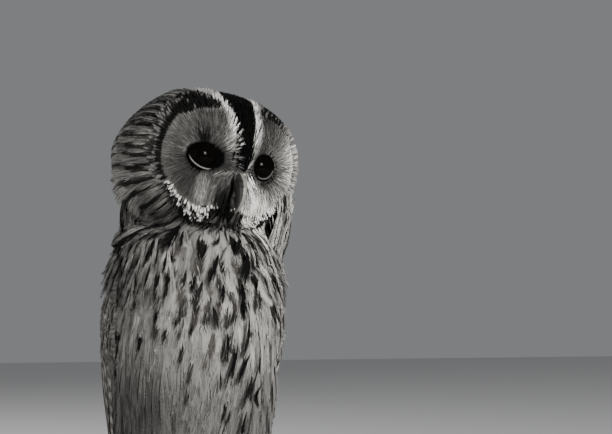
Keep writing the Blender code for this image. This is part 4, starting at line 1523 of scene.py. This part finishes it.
feather("nape", contour, roots, look(light.clip(0.012, 0.5), chance, 0.4),
        marks(0.15 + 0.2 * rng.random(n), 0.35, 0.5, 0.006, n), length=run_length(at),
        half_width=0.0040 + 0.001 * chance, slot="head_plumage", softness=0.75, rise=(0.3, 1.1), ragged=0.2,
        fluff=0.0005, camber=0.08, twist=0.15, seed=35, line=run_of(at, out, NAPE_DEPTH))

# %% [markdown]
# The back is mottled like bark: each feather has a dark shaft streak, crossed by bars.

# %% Back
scale_vane = vane(16, slant=0.6, whole=0.75, base=0.05, shaft=0.03, roundness=0.55, full=0.9)
mantle_zone = body_zone & (FACES_BACK > 0.30) & (HEIGHT > 0.088)
roots, n, _, chance, other = tract(mantle_zone, 0.0062, 11, 2)
at, out = roots["at"], roots["out"]
light = body_light(at, out) * stray(0.25, n)
feather("mantle", scale_vane, roots, look(light.clip(0.05, 0.6), chance, 0.5),
        marks(0.18 + 0.12 * chance, 0.50, 0.5 + 0.16 * (other > 0.8), 0.014, n), lie=body_lie(roots),
        length=0.023 + 0.005 * chance, half_width=0.0058 + 0.0008 * chance, slot="wing_plumage",
        rise=(0.10, 1.0), ragged=0.12, fluff=0.0003, seed=41)

# %% [markdown]
# ## Wings
#
# A folded wing is a pack of feathers that slide over one another. The long quills of the arm and the hand
# are stiff, closed blades, each a strip with a raised shaft, laid from the wrist to its tip along the
# outer face of the wing solid. The hand's blades lie lowest and reach the tips. The arm's lie over them,
# the inner over the outer. Rows of coverts hide their roots, and small feathers cover the shoulder.

# %% A smooth guide for the wings
WING_AXIS = [(0.028, 0.0408), (0.060, 0.0188), (0.085, -0.0002), (0.100, -0.0112), (0.125, -0.0262),
             (0.150, -0.0352), (0.180, -0.0392), (0.230, -0.0442)]  # height, the body's middle line
GUIDE_GROW, GUIDE_VOXEL = 0.0004, 0.0013
wing_guides = {}
for side in ("left", "right"):
    guide = join([copy_of("wing_" + side, "guide"), copy_of("primaries_" + side, "guide")], "guide")
    modify(guide, "DISPLACE", strength=GUIDE_GROW, mid_level=0)
    modify(guide, "REMESH", mode="VOXEL", voxel_size=GUIDE_VOXEL)
    modify(guide, "SMOOTH", factor=0.5, iterations=10)
    wing_guides[side] = tree_of(guide)
    bpy.data.objects.remove(guide)
print("wing guides ready")

# %% [markdown]
# A place on a wing is named by its bearing round the body's middle line and its height, as on a globe. A
# ray from outside finds the guide there. The middle line leans back with the body.

# %% Places on the wings
def wing_spots(side, degrees, heights):
    """Places and normals on the outer face of a wing: degrees round from the side to the back, and heights."""
    sign = 1 if side == "left" else -1
    at, out = [], []
    for turn, z in zip(np.radians(degrees), heights, strict=True):
        point = Vector((sign * math.cos(turn), math.sin(turn), 0))
        middle = Vector((0, float(curve(WING_AXIS, z)), z))
        hit = wing_guides[side].ray_cast(middle + point * 0.2, -point)
        if hit[0] is None:
            hit = wing_guides[side].find_nearest(middle + point * 0.055)
        at.append(hit[0])
        out.append(hit[1] if hit[1].dot(point) > 0 else -hit[1])
    return np.array(at), np.array(out)


def wing_tracks(side, starts, ends, knots=13):
    """Shafts over the wing from starts to ends, both as (degrees, height) pairs."""
    share = np.linspace(0, 1, knots)
    at, out = [], []
    for a, b in zip(np.array(starts, float), np.array(ends, float), strict=True):
        way = a + (b - a) * share[:, None]
        places, normals = wing_spots(side, way[:, 0], way[:, 1])
        at.append(places)
        out.append(normals)
    return eased(np.array(at), 3), unit(eased(np.array(out), 6))


print("left wing at its side:", wing_spots("left", [0], [0.15])[0].round(3))

# %% [markdown]
# A quill is a thin closed blade: an upper and a lower sheet with a wall round them, narrow at the root,
# rounded at the tip, arched across, with a raised shaft. Real vanes are one sheet of hooked barbs, and
# their edges look like this. A grid for all blades at once is quicker than a modifier on each.

# %% Blades
def blades(name, at, out, half_width, ground, mark, material, tilt=0.0, thick=0.00035, camber=0.10, tip=0.16,
           base=0.55, rows=22, columns=9):
    """Closed, stiff feathers along shafts (feathers, knots, 3), with a raised shaft. Returns one joined mesh."""
    n = len(at)
    v = np.linspace(0, 1, rows)
    u = np.linspace(-1, 1, columns)
    place, normal = between(at, v), between(out, v)
    along = unit(along_of(place))
    sideways = unit(np.cross(along, normal))
    normal = np.cross(sideways, along)
    outline = np.minimum(base + (1 - base) * np.sin(np.clip(v / 0.35, 0, 1) * math.pi / 2),
                         np.sqrt(np.clip(1 - np.clip((v - 1 + tip) / tip, 0, 1) ** 2, 0.0004, 1)))
    width = np.asarray(half_width).reshape(-1, 1) * outline
    spread = width[:, :, None] * u
    height = camber * width[:, :, None] * (1 - u * u) + 0.00022 * (np.abs(u) < 0.05) * (1 - v)[:, None]
    height = height + np.asarray(tilt).reshape(-1, 1, 1) * spread
    middle = place[:, :, None] + sideways[:, :, None] * spread[..., None] + normal[:, :, None] * height[..., None]
    half = thick / 2 * np.minimum(1, (1 - np.abs(u)) * 6 + 0.25)[None, None, :, None] * normal[:, :, None]
    both = np.stack([middle + half, middle - half], 1).reshape(n, -1, 3)
    sheet = rows * columns
    grid = np.arange(sheet).reshape(rows, columns)
    a, b, c, d = (g.ravel() for g in (grid[:-1, :-1], grid[:-1, 1:], grid[1:, 1:], grid[1:, :-1]))
    upper = np.vstack([np.column_stack([a, d, c]), np.column_stack([a, c, b])])
    ring = np.concatenate([grid[0, :], grid[1:, -1], grid[-1, -2::-1], grid[-2:0:-1, 0]])
    after = np.roll(ring, -1)
    wall = np.vstack([np.column_stack([ring, after, after + sheet]),
                      np.column_stack([ring, after + sheet, ring + sheet])])
    tris = np.vstack([upper, upper[:, ::-1] + sheet, wall])
    tris = (tris[None] + (np.arange(n) * 2 * sheet)[:, None, None]).reshape(-1, 3)
    made = solid_mesh(name, both.reshape(-1, 3), tris)
    edit_all(made, bpy.ops.mesh.normals_make_consistent)
    flat = np.column_stack([np.tile((u + 1) / 2, rows), np.repeat(v, columns)])
    flat = np.tile(np.vstack([flat, flat]), (n, 1))
    lane = (np.repeat(np.arange(n), 2 * sheet) + 0.5 + (flat[:, 0] - 0.5) * 0.86) / n
    maps = {"Vane": flat, "OFBake": np.column_stack([lane, 0.02 + 0.96 * flat[:, 1]])}
    dress(made, ground, mark, maps, material)
    made.data.uv_layers["OFBake"].active = True
    return made


print("blades ready")

# %% [markdown]
# A quill is crossed by broad dark bars with wavering edges, and its shaft and its edge are darker. On the
# outer web of the hand's quills the pale spaces between the bars are white.

# %% Bars of the quills
def quill_group():
    tree, given, out, marks, side, y, place = marks_group("quill bars", 3.0, 22.0)
    do = partial(calc, tree)
    x = do("ABSOLUTE", side)
    noise, fine = noise_at(tree, place, 1.0, 4.0), noise_at(tree, place, 7.0, 2.0)
    turn = do("MULTIPLY_ADD", y, do("MULTIPLY", marks[0], 20.0), do("MULTIPLY", given["Chance"], 0.35))
    turn = do("ADD", turn, do("MULTIPLY_ADD", x, -0.22, do("MULTIPLY", noise, 0.80)))
    wave = do("SINE", do("MULTIPLY", turn, 2 * math.pi))
    dark = warm_dark(tree, given["Dark"], 0.92, 0.82)
    colour = mixed(tree, do("MULTIPLY", ramp(tree, wave, -0.35, 0.85), marks[1]), given["Ground"], dark)
    outer = ramp(tree, do("MULTIPLY", side, do("SIGN", do("SUBTRACT", marks[2], 0.5))), 0.35, 0.75)
    web = do("MULTIPLY", outer, do("ABSOLUTE", do("MULTIPLY_ADD", marks[2], 2.0, -1.0)))
    colour = mixed(tree, do("MULTIPLY", web, ramp(tree, wave, 0.1, -0.5)), colour, WHITE)
    lines = do("SINE", do("MULTIPLY_ADD", y, 620.0, do("MULTIPLY", x, -70.0)))
    shade = do("MULTIPLY_ADD", lines, 0.05, do("MULTIPLY_ADD", fine, 0.5, 0.70))
    shaft = ramp(tree, x, 0.03, 0.09, 0.55, 1.0)
    shade = do("MULTIPLY", shade, do("MULTIPLY", shaft, ramp(tree, x, 1.0, 0.90, 0.75, 1.0)))
    return end_marks(tree, out, colour, shade, lines)


QUILLS = plumage_material("quills", 0.6, 0.0, quill_group())
print("quill material ready")

# %% [markdown]
# Each quill's shaft runs from a start under the coverts to its tip, both given as bearing and height. The
# quills are sunk a little under the guide, each less than the one outside it, so that they lie in order.

# %% The hand's and the arm's quills
HAND_STARTS = [(3, 0.160), (7, 0.163), (11, 0.166), (16, 0.169), (21, 0.171), (27, 0.172), (33, 0.172)]
HAND_ENDS = [(25, 0.094), (34, 0.080), (43, 0.067), (52, 0.055), (59, 0.045), (66, 0.037), (72, 0.033)]
ARM_STARTS = [(12, 0.158), (18, 0.162), (25, 0.165), (33, 0.168), (41, 0.171), (50, 0.173), (58, 0.175), (65, 0.177)]
ARM_ENDS = [(33, 0.104), (42, 0.095), (50, 0.087), (58, 0.080), (65, 0.074), (71, 0.069), (77, 0.067), (82, 0.069)]
for side, sign in SIDES:
    at, out = wing_tracks(side, HAND_STARTS + ARM_STARTS, HAND_ENDS + ARM_ENDS)
    n = len(at)
    rank = np.arange(n)
    hand = rank < len(HAND_STARTS)
    sunk = np.where(hand, 0.0018 - 0.00008 * rank, 0.0011 - 0.00007 * (rank - len(HAND_STARTS)))
    sunk = sunk[:, None] - 0.0004 * np.linspace(0, 1, at.shape[1]) * hand[:, None]
    at = at - out * sunk[..., None]
    chance = rng.random(n)
    light = np.where(hand, 0.20, 0.23) * stray(0.08, n)
    quills = blades(
        f"quills_{side}", at, out, np.where(hand, 0.0068, 0.0074), look(light, chance, 0.6),
        marks(np.where(hand, 0.42, 0.34), 0.62, 0.5 + 0.13 * sign * hand, 0.05, n), QUILLS,
        tilt=sign * 0.07, tip=0.10)
    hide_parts("primaries_" + side)

# %% [markdown]
# Three rows of coverts cover the quills' roots, each row shorter than the one below, like tiles on a roof.
# They stand in straight rows, as on a real wing, so they are placed and not strewn.

# %% Rows of coverts
# Height and bearing in front, height and bearing behind, length and half width of each row's feathers
COVERTS = [(0.170, -1, 0.190, 68, 0.034, 0.0058), (0.187, -6, 0.204, 60, 0.027, 0.0052),
           (0.202, -9, 0.214, 50, 0.022, 0.0048)]
IN_COVERT_ROW = 12
long, wide = (np.repeat([row[i] for row in COVERTS], IN_COVERT_ROW) for i in (4, 5))
share = (np.arange(IN_COVERT_ROW) + 0.5) / IN_COVERT_ROW
for side, sign in SIDES:
    at = [wing_spots(side, first + (last - first) * share, front_high + (back_high - front_high) * share)[0]
          for front_high, first, back_high, last, _, _ in COVERTS]
    roots = rooted(np.concatenate(at))
    n = roots["n"]
    chance, other = rng.random(n), rng.random(n)
    light = 0.20 * stray(0.2, n)
    lie = ways(n, -0.15 * sign, 0.40 + 0.15 * np.tile(share, len(COVERTS)), -1)
    feather(f"coverts_{side}", scale_vane, roots, look(light.clip(0.05, 0.5), chance, 0.55),
            marks(0.14, 0.65, 0.5 + 0.30 * (other > 0.72), 0.03, n), lie=lie, length=long, half_width=wide,
            slot="wing_plumage", rise=(0.25, 1.05), ragged=0.08, fluff=0.0002, seed=42)

# %% [markdown]
# Small mottled feathers, strewn like those of the back, cover each wing above its coverts.

# %% Shoulders
wing_zone = (TRI_KIND == "wing") & (FACES_UP > -0.8)
for side, sign in SIDES:
    mine = wing_zone & (ASIDE * sign > 0) & (HEIGHT > 0.178)
    roots, n, _, chance, other = tract(mine, 0.0052, 12, 2)
    at, out = roots["at"], roots["out"]
    light = 0.19 * stray(0.25, n)
    lie = ways(n, -0.1 * sign, 0.35 + 0.2 * step(0, 0.6, out[:, 1]), -1)
    feather(f"shoulder_{side}", scale_vane, roots, look(light.clip(0.04, 0.5), chance, 0.5),
            marks(0.22, 0.5, 0.5 + 0.20 * (other > 0.78), 0.012, n), lie=lie, length=0.016 + 0.004 * chance,
            half_width=0.0045 + 0.0008 * chance, slot="wing_plumage", rise=(0.2, 1.15),
            ragged=0.12, fluff=0.0003, seed=43)

# %% [markdown]
# The scapulars lie over the join of wing and back. Their outer webs are white, which draws a broken white
# line down each shoulder.

# %% Scapulars
SCAPULARS_DOWN, SCAPULAR_LANES = 9, 3
for side, sign in SIDES:
    down, lane = (part.ravel() for part in np.mgrid[:SCAPULARS_DOWN, :SCAPULAR_LANES])
    degrees = 48 + 3.4 * down - 9 * lane + 2 * (down % 2)
    roots = rooted(wing_spots(side, degrees, 0.226 - 0.0095 * down + 0.004 * lane)[0])
    n = roots["n"]
    chance = rng.random(n)
    light = np.where(lane == 2, 0.45, 0.20) * stray(0.15, n)
    lie = ways(n, -0.12 * sign, 0.42, -1)
    feather(f"scapulars_{side}", scale_vane, roots, look(light.clip(0.05, 0.7), chance, 0.45),
            marks(0.16, 0.45, np.where(lane == 2, 0.82, 0.5), 0.02, n), lie=lie, length=0.027 + 0.004 * chance,
            half_width=0.0062, slot="wing_plumage", rise=(0.5, 1.35), lift=0.0006,
            ragged=0.10, fluff=0.0003, seed=44)

# %% [markdown]
# ## Tail
#
# Twelve tail feathers fan out from one root, the middle pair on top. They are blades like the wing's
# quills, along the upper side of the tail solid. Coverts hide their roots above and below.

# %% Tail feathers
TAIL_ROOT, TAIL_LENGTH, TAIL_SLOPE = np.array([0, 0.0088, 0.110]), 0.138, math.radians(40)
TAIL_ROOT_HALF_WIDTH, TAIL_TIP_HALF_WIDTH, TAIL_ARCH, TAIL_ROUNDING = 0.015, 0.028, 0.006, 0.009
TAIL_ALONG = np.array([0, math.sin(TAIL_SLOPE), -math.cos(TAIL_SLOPE)])
TAIL_UP = np.array([0, math.cos(TAIL_SLOPE), math.sin(TAIL_SLOPE)])


def tail_spot(spread, down, height):
    """A place on the fan: spread from -1 to 1 across, down from 0 to 1 along, height over its underside."""
    spread, down, height = (np.asarray(v, float)[..., None] for v in (spread, down, height))
    half = TAIL_ROOT_HALF_WIDTH + (TAIL_TIP_HALF_WIDTH - TAIL_ROOT_HALF_WIDTH) * down
    return (TAIL_ROOT + TAIL_ALONG * down * (TAIL_LENGTH - TAIL_ROUNDING * spread**2)
            + TAIL_UP * (height - TAIL_ARCH * spread**2) + np.array([1, 0, 0]) * spread * half)


TAIL_FEATHERS, TAIL_KNOTS = 12, 12
rank = np.arange(TAIL_FEATHERS)
spread = ((rank + 0.5) / TAIL_FEATHERS * 2 - 1) * 0.80
down = np.linspace(0.10, 1.0, TAIL_KNOTS)
inner = 1 - np.abs(rank - 5.5) / 5.5
thick = 0.0045 * (1 - 0.6 * down)
height = (0.25 + 0.62 * inner)[:, None] * thick - 0.0002
at = tail_spot(np.repeat(spread[:, None], TAIL_KNOTS, 1), np.repeat(down[None], TAIL_FEATHERS, 0), height)
out = unit(np.broadcast_to(TAIL_UP, at.shape) + np.array([1, 0, 0]) * (0.42 * spread)[:, None, None])
n = TAIL_FEATHERS
chance = rng.random(n)
light = (0.22 + 0.05 * inner) * stray(0.06, n)
tail = blades("tail_feathers", at, out, np.full(n, 0.0072), look(light, chance, 0.6),
              marks(0.36, 0.55 - 0.25 * inner, 0.5, 0.05, n), QUILLS,
              tilt=-0.10 * np.sign(spread), tip=0.12, base=0.45)
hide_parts("tail")

# %% [markdown]
# Two tracts cover the root of the tail: grey, barred coverts above it and pale, silky ones below. They
# bridge the gap to the body, so their shafts are given along the tail's own fan.

# %% Tail coverts
COVERT_ROWS, IN_ROW, COVERT_DEPTH = 3, 13, 0.0016
for name, pattern, away, first, last, reach, slot, light, bars, seed in (
        ("tail_coverts", scale_vane, TAIL_UP, 0.0045, 0.0052, 0.30, "wing_plumage", 0.21, 0.45, 51),
        ("under_tail_coverts", contour, -TAIL_UP, -0.004, -0.0022, 0.42, "breast_plumage", 0.62, 0.05, 52)):
    lines = []
    share = np.linspace(0, 1, KNOTS)
    for row in range(COVERT_ROWS):
        for i in range(IN_ROW):
            across = ((i + 0.5 + 0.5 * (row % 2)) / IN_ROW * 2 - 1) * 0.92
            down = -0.10 + 0.09 * row + (reach + 0.04 * row - 0.10 * abs(across)) * share
            lines.append(tail_spot(np.full(KNOTS, across * 0.9), down, first + (last - first) * share))
    at = np.array(lines)
    n = len(at)
    out = unit(away + np.array([1, 0, 0]) * at[:, :, :1] * 12)
    chance = rng.random(n)
    feather(name, pattern, rooted(at[:, 0]), look((light * stray(0.15, n)).clip(0.05, 0.8), chance, 0.45),
            marks(0.16, bars, 0.5, 0.02, n), length=np.full(n, 0.04), half_width=0.0056, slot=slot,
            line=run_of(at, out, COVERT_DEPTH), rise=(0.1, 1.0), ragged=0.12, fluff=0.0003, seed=seed)

# %% [markdown]
# ## Legs and feet
#
# A tawny owl's legs are feathered to the claws: loose on the thigh, short and dense on the shank and like
# bristles on the toes, whose soles are bare.

# %% Trousers
trouser_zone = (np.isin(TRI_KIND, ("thigh", "trunk")) & (HEIGHT > 0.068) & (HEIGHT < 0.120)
                & (np.abs(ASIDE) > 0.008) & (FACES_BACK < 0.7))
hanging = vane(10, slant=0.7, whole=0.35, base=0.03, shaft=0.04)
roots, n, _, chance = tract(trouser_zone, 0.0050, 16)
light = blend(0.36, body_light(roots["at"], roots["out"]), 0.5) * stray(0.12, n)
lie = ways(n, 0, 0.15, -1)
feather("trousers", hanging, roots, look(light, chance, 0.45), marks(0.0, 0.1, 0.5, 0.1, n), lie=lie,
        length=0.026 + 0.008 * chance, half_width=0.0050 + 0.001 * chance,
        slot="leg_plumage", rise=(0.3, 1.0), lift=0.0045 + 0.002 * chance, ragged=0.25, fluff=0.0005, seed=64)

# %% [markdown]
# The thigh's plumes grow longer towards the belly, where they run into its feathers. The shank's are short
# and dense and point forwards over the foot.

# %% Thighs and shanks
plume = vane(8, slant=0.8, whole=0.4, base=0.04, shaft=0.05, roundness=0.7)
roots, n, _, chance = tract(TRI_KIND == "thigh", 0.0042, 13)
light = 0.50 * stray(0.10, n)
lie = ways(n, 0, 0.25, -1)
high = step(0.055, 0.085, roots["at"][:, 2])
feather("thigh_feathers", plume, roots, look(light, chance, 0.45), marks(0.12 * (chance > 0.5), 0.2, 0.5, 0.08, n),
        lie=lie, length=0.015 + 0.004 * chance + 0.008 * high, half_width=0.0030 + 0.0006 * chance + 0.001 * high,
        slot="leg_plumage", rise=(0.1, 0.95), lift=0.002 + 0.003 * high, ragged=0.2, fluff=0.0003, seed=61)

roots, n, _, chance = tract(TRI_KIND == "tarsus", 0.0030, 14)
light = 0.48 * stray(0.12, n)
lie = ways(n, 0, -0.15, -1)
feather("shank_feathers", plume, roots, look(light, chance, 0.45), marks(0.14 * (chance > 0.6), 0.25, 0.5, 0.08, n),
        lie=lie, length=0.0085 + 0.002 * chance, half_width=0.0018 + 0.0003 * chance,
        slot="leg_plumage", rise=(0.1, 0.9), ragged=0.2, fluff=0.0002, seed=62)

# %% [markdown]
# The toes' feathers lie like bristles, outwards from the middle of the foot. They stop above the soles,
# which are bare.

# %% Toes
FOOT_AT = np.array([0.029, -0.0252, 0.0])
toe_zone = np.isin(TRI_KIND, ("toe", "foot")) & ((FACES_UP > -0.35) | (HEIGHT > 0.006))
plumelet = vane(5, slant=0.8, whole=0.4, base=0.04, shaft=0.08, roundness=0.7)
roots, n, _, chance = tract(toe_zone, 0.0019, 15)
at = roots["at"]
light = 0.44 * stray(0.14, n)
lie = at - FOOT_AT * np.column_stack([np.sign(at[:, 0]), np.ones(n), np.ones(n)])
lie = np.column_stack([lie[:, 0], lie[:, 1], -0.3 * np.linalg.norm(lie, axis=1)])
feather("toe_feathers", plumelet, roots, look(light, chance, 0.45), marks(0.0, 0.15, 0.5, 0.08, n),
        lie=lie, length=0.0038 + 0.001 * chance, half_width=0.0008 + 0.0002 * chance,
        slot="leg_plumage", rise=(0.15, 0.9), ragged=0.2, fluff=0.0001, seed=63)

# %% [markdown]
# ## Eyes, bill and claws
#
# The eyeballs are smooth and so dark that no iris shows, with a wet gloss. The bill is a copy of its
# solids, wrapped finely and smoothed, as a carver would sand it. The claws are rounded copies too.

# %% Eyes
eye_mat, _, _ = new_material("eye", Base_Color=(0.0015, 0.0012, 0.001, 1), Roughness=0.05, Specular_Level=0.03,
                             IOR=1.38)
for side in ("left", "right"):
    bpy.ops.mesh.primitive_uv_sphere_add(segments=48, ring_count=32, radius=EYE_RADIUS, location=eye_at[side])
    ball = bpy.context.object
    ball.name = "eyeball_" + side
    ball.rotation_euler.x = math.radians(90)
    bpy.ops.object.transform_apply()
    bpy.ops.object.shade_smooth()
    ball.data.materials.append(eye_mat)
    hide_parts("eye_" + side)
    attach(ball, "root")
print("eyes of", EYE_RADIUS * 2000, "mm")

# %% [markdown]
# The bill's horn is painted nearly black on its flanks as shade, with a paler grey ridge along its top. Its two
# solids are wrapped finely, smoothed and made a fifth narrower, because the feathers beside it hide its breadth.

# %% Bill
BILL_VOXEL, NARROWER = 0.00035, 0.2


def horn_group():
    """Horn: paler with its share, in faint streaks."""
    tree, given, out = new_group("horn", [("Place", "v"), ("Pale", "c"), ("Deep", "c"), ("Share", "f")],
                                 [("Color", "c")])
    noise = noise_at(tree, given["Place"], 320.0, 3.0)
    share = calc(tree, "ADD", given["Share"], calc(tree, "MULTIPLY_ADD", noise, 0.5, -0.25), clamp=True)
    tree.links.new(mixed(tree, share, given["Deep"], given["Pale"]), out["Color"])
    return tree


HORN = horn_group()


def horn_material(name, pale, share, roughness):
    """A horn material whose share is a number or the name of an attribute."""
    made, tree, shader = new_material(name, Roughness=roughness)
    if isinstance(share, str):
        share = add(tree, "ShaderNodeAttribute", attribute_name=share).outputs["Fac"]
    spot = add(tree, "ShaderNodeTexCoord").outputs["Object"]
    group = add(tree, "ShaderNodeGroup", {"Place": spot, "Pale": pale, "Deep": (0.012, 0.011, 0.010, 1),
                                          "Share": share}, node_tree=HORN)
    tree.links.new(group.outputs[0], shader.inputs["Base Color"])
    return made


def horn_piece(thing, node, material):
    """Smooth shading, material and body of a piece of horn."""
    only(thing)
    bpy.ops.object.shade_smooth()
    thing.data.materials.append(material)
    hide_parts(node)
    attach(thing, "root")


# The bill's deep tone is painted shade on its flanks; only the ridge keeps a paler horn grey.
bill_mat = horn_material("bill horn", (0.15, 0.143, 0.125, 1), "Ridge", 0.38)
for node in ("bill_upper", "bill_lower"):
    horn = copy_of(node, node + "_horn")
    modify(horn, "REMESH", mode="VOXEL", voxel_size=BILL_VOXEL)
    modify(horn, "SMOOTH", factor=0.5, iterations=6)
    for vert in horn.data.vertices:
        vert.co -= head_x * (vert.co - Vector(HEAD_ORIGIN)).dot(head_x) * NARROWER
    off = np.abs(to_head(column(horn.data.vertices, "co"))[:, 0] - 0.0003)
    layer = horn.data.attributes.new("Ridge", "FLOAT", "POINT")
    layer.data.foreach_set("value", (step(0.0018, 0.0009, off) * (node == "bill_upper")).astype(np.float32))
    horn_piece(horn, node, bill_mat)
print("bill ready")

# %% [markdown]
# The claws are curved black horn. Each is a copy of its solid, rounded by a Subdivision modifier, with its
# root drawn back by two millimetres under the feathers of the toe, as a claw grows from inside.

# %% Claws
ROOT_BACK, ROOT_LENGTH = 0.0022, 0.0030
claw_mat = horn_material("claw horn", (0.09, 0.085, 0.075, 1), 0.35, 0.3)
claw_nodes = sorted(n for n in NODES if "_claw_" in n)
for node in claw_nodes:
    claw = copy_of(node, node + "_horn")
    back = (middle_of(node.replace("_claw_", "_toe_")) - middle_of(node)).normalized()
    reach = [vert.co.dot(back) for vert in claw.data.vertices]
    for vert, along in zip(claw.data.vertices, reach, strict=True):
        vert.co += back * ROOT_BACK * max(0.0, 1 - (max(reach) - along) / ROOT_LENGTH)
    modify(claw, "SUBSURF", levels=1)
    horn_piece(claw, node, claw_mat)
print(len(claw_nodes), "claws")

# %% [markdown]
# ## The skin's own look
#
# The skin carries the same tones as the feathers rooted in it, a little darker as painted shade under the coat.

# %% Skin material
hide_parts(*FLESH)
all_at = column(skin.data.vertices, "co")
all_out = column(skin.data.vertices, "normal")
all_head = to_head(all_at)
count = len(all_at)
kinds = np.concatenate([SKIN_KIND, np.full(count - SKIN_VERTS, "eye")])
in_face = (all_head[:, 1] < -0.008) & (rim_away(all_head) < 1.06) | (kinds == "eye")
of_head = np.isin(kinds, ("head", "eye"))
light = np.where(of_head, np.where(in_face, face_light(all_head), hood_light(all_head)),
                 body_light(all_at, all_out) * 0.8)
light = np.where(kinds == "wing", 0.14, light)
# The lower outer part of each lid roll is paler: a painted glint on the wet lid edge, brighter at the right eye.
lid_glint = eye_bearing(all_head[SKIN_VERTS:])
lid_glint = step(-2, -22, lid_glint) * step(-128, -100, lid_glint)
light[SKIN_VERTS:] = BLACK + np.where(all_head[SKIN_VERTS:, 0] > 0, 0.08, 0.16) * lid_glint
# A quarter darker than the feathers: painted shade under the coat.
colour_in(skin, "Ground", look(light * 0.75, np.full(count, 0.5), 0.4))
skin_mat, tree, shader = new_material("skin", Roughness=0.7, Specular_Level=0.01)
tone = add(tree, "ShaderNodeAttribute", attribute_name="Ground").outputs["Color"]
tree.links.new(tone, shader.inputs["Base Color"])
skin.data.materials.clear()
skin.data.materials.append(skin_mat)
for thing in [skin, *coat]:
    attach(thing, "root")
print("coat:", sum(len(thing.data.polygons) for thing in coat), "triangles")

# %% [markdown]
# ## The studio
#
# The owl stands on a pale floor under a grey sky, which lights it evenly from all round.

# %% Floor and sky
bpy.ops.mesh.primitive_plane_add(size=6, location=(0, 0, 0))
floor = bpy.context.object
floor.name = "floor"
floor_mat, _, _ = new_material("floor", Base_Color=(0.55, 0.55, 0.55, 1), Roughness=0.9)
floor.data.materials.append(floor_mat)
floor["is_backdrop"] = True

world = bpy.data.worlds.new("studio")
bpy.context.scene.world = world
world.use_nodes = True
sky = world.node_tree.nodes["Background"].inputs
sky["Color"].default_value = (0.75, 0.76, 0.78, 1)
sky["Strength"].default_value = 0.28
print("floor and sky ready")

# %% [markdown]
# A large soft lamp shines from the owl's left, where its face is turned, a weak one from the other side and
# one from behind, which draws the outline of the crown.

# %% Lamps
def soft_light(name, at, size, power, aim=Vector((0, 0, 0.24))):
    """A square lamp that looks at the owl."""
    data = bpy.data.lights.new(name, "AREA")
    data.shape = "SQUARE"
    data.size = size
    data.energy = power
    lamp = bpy.data.objects.new(name, data)
    bpy.context.collection.objects.link(lamp)
    lamp.location = at
    lamp.rotation_mode = "QUATERNION"
    lamp.rotation_quaternion = (Vector(at) - aim).to_track_quat("Z", "Y")
    lamp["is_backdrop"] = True


soft_light("key", (0.75, -1.75, 0.85), 0.42, 78)
soft_light("fill", (-1.4, -1.2, 0.7), 1.4, 10)
soft_light("rim", (-0.6, 1.4, 1.2), 0.8, 20)
print("lamps ready")

# %% [markdown]
# The camera stands at the height of the skull, a little to the owl's right, and far enough away that the
# bill doesn't look too large. Shifting the lens puts the owl to one side without turning the camera.

# %% Camera

CAM_TURN, CAM_DISTANCE = math.radians(-12), 2.4
SHOWN_ACROSS = 0.385  # the width of the view at the skull
cam_data = bpy.data.cameras.new("camera")
cam = bpy.data.objects.new("camera", cam_data)
bpy.context.collection.objects.link(cam)
bpy.context.scene.camera = cam
cam_data.sensor_width = 36
cam_data.lens = 36 / SHOWN_ACROSS * CAM_DISTANCE
cam.location = Vector(HEAD_ORIGIN) + Vector((math.sin(CAM_TURN), -math.cos(CAM_TURN), 0)) * CAM_DISTANCE
cam.rotation_euler = (math.radians(90), 0, CAM_TURN)
cam_data.shift_x = 0.1634
cam_data.shift_y = -0.0907
print("camera", CAM_DISTANCE, "m away, lens", round(cam_data.lens), "mm")
low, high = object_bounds()
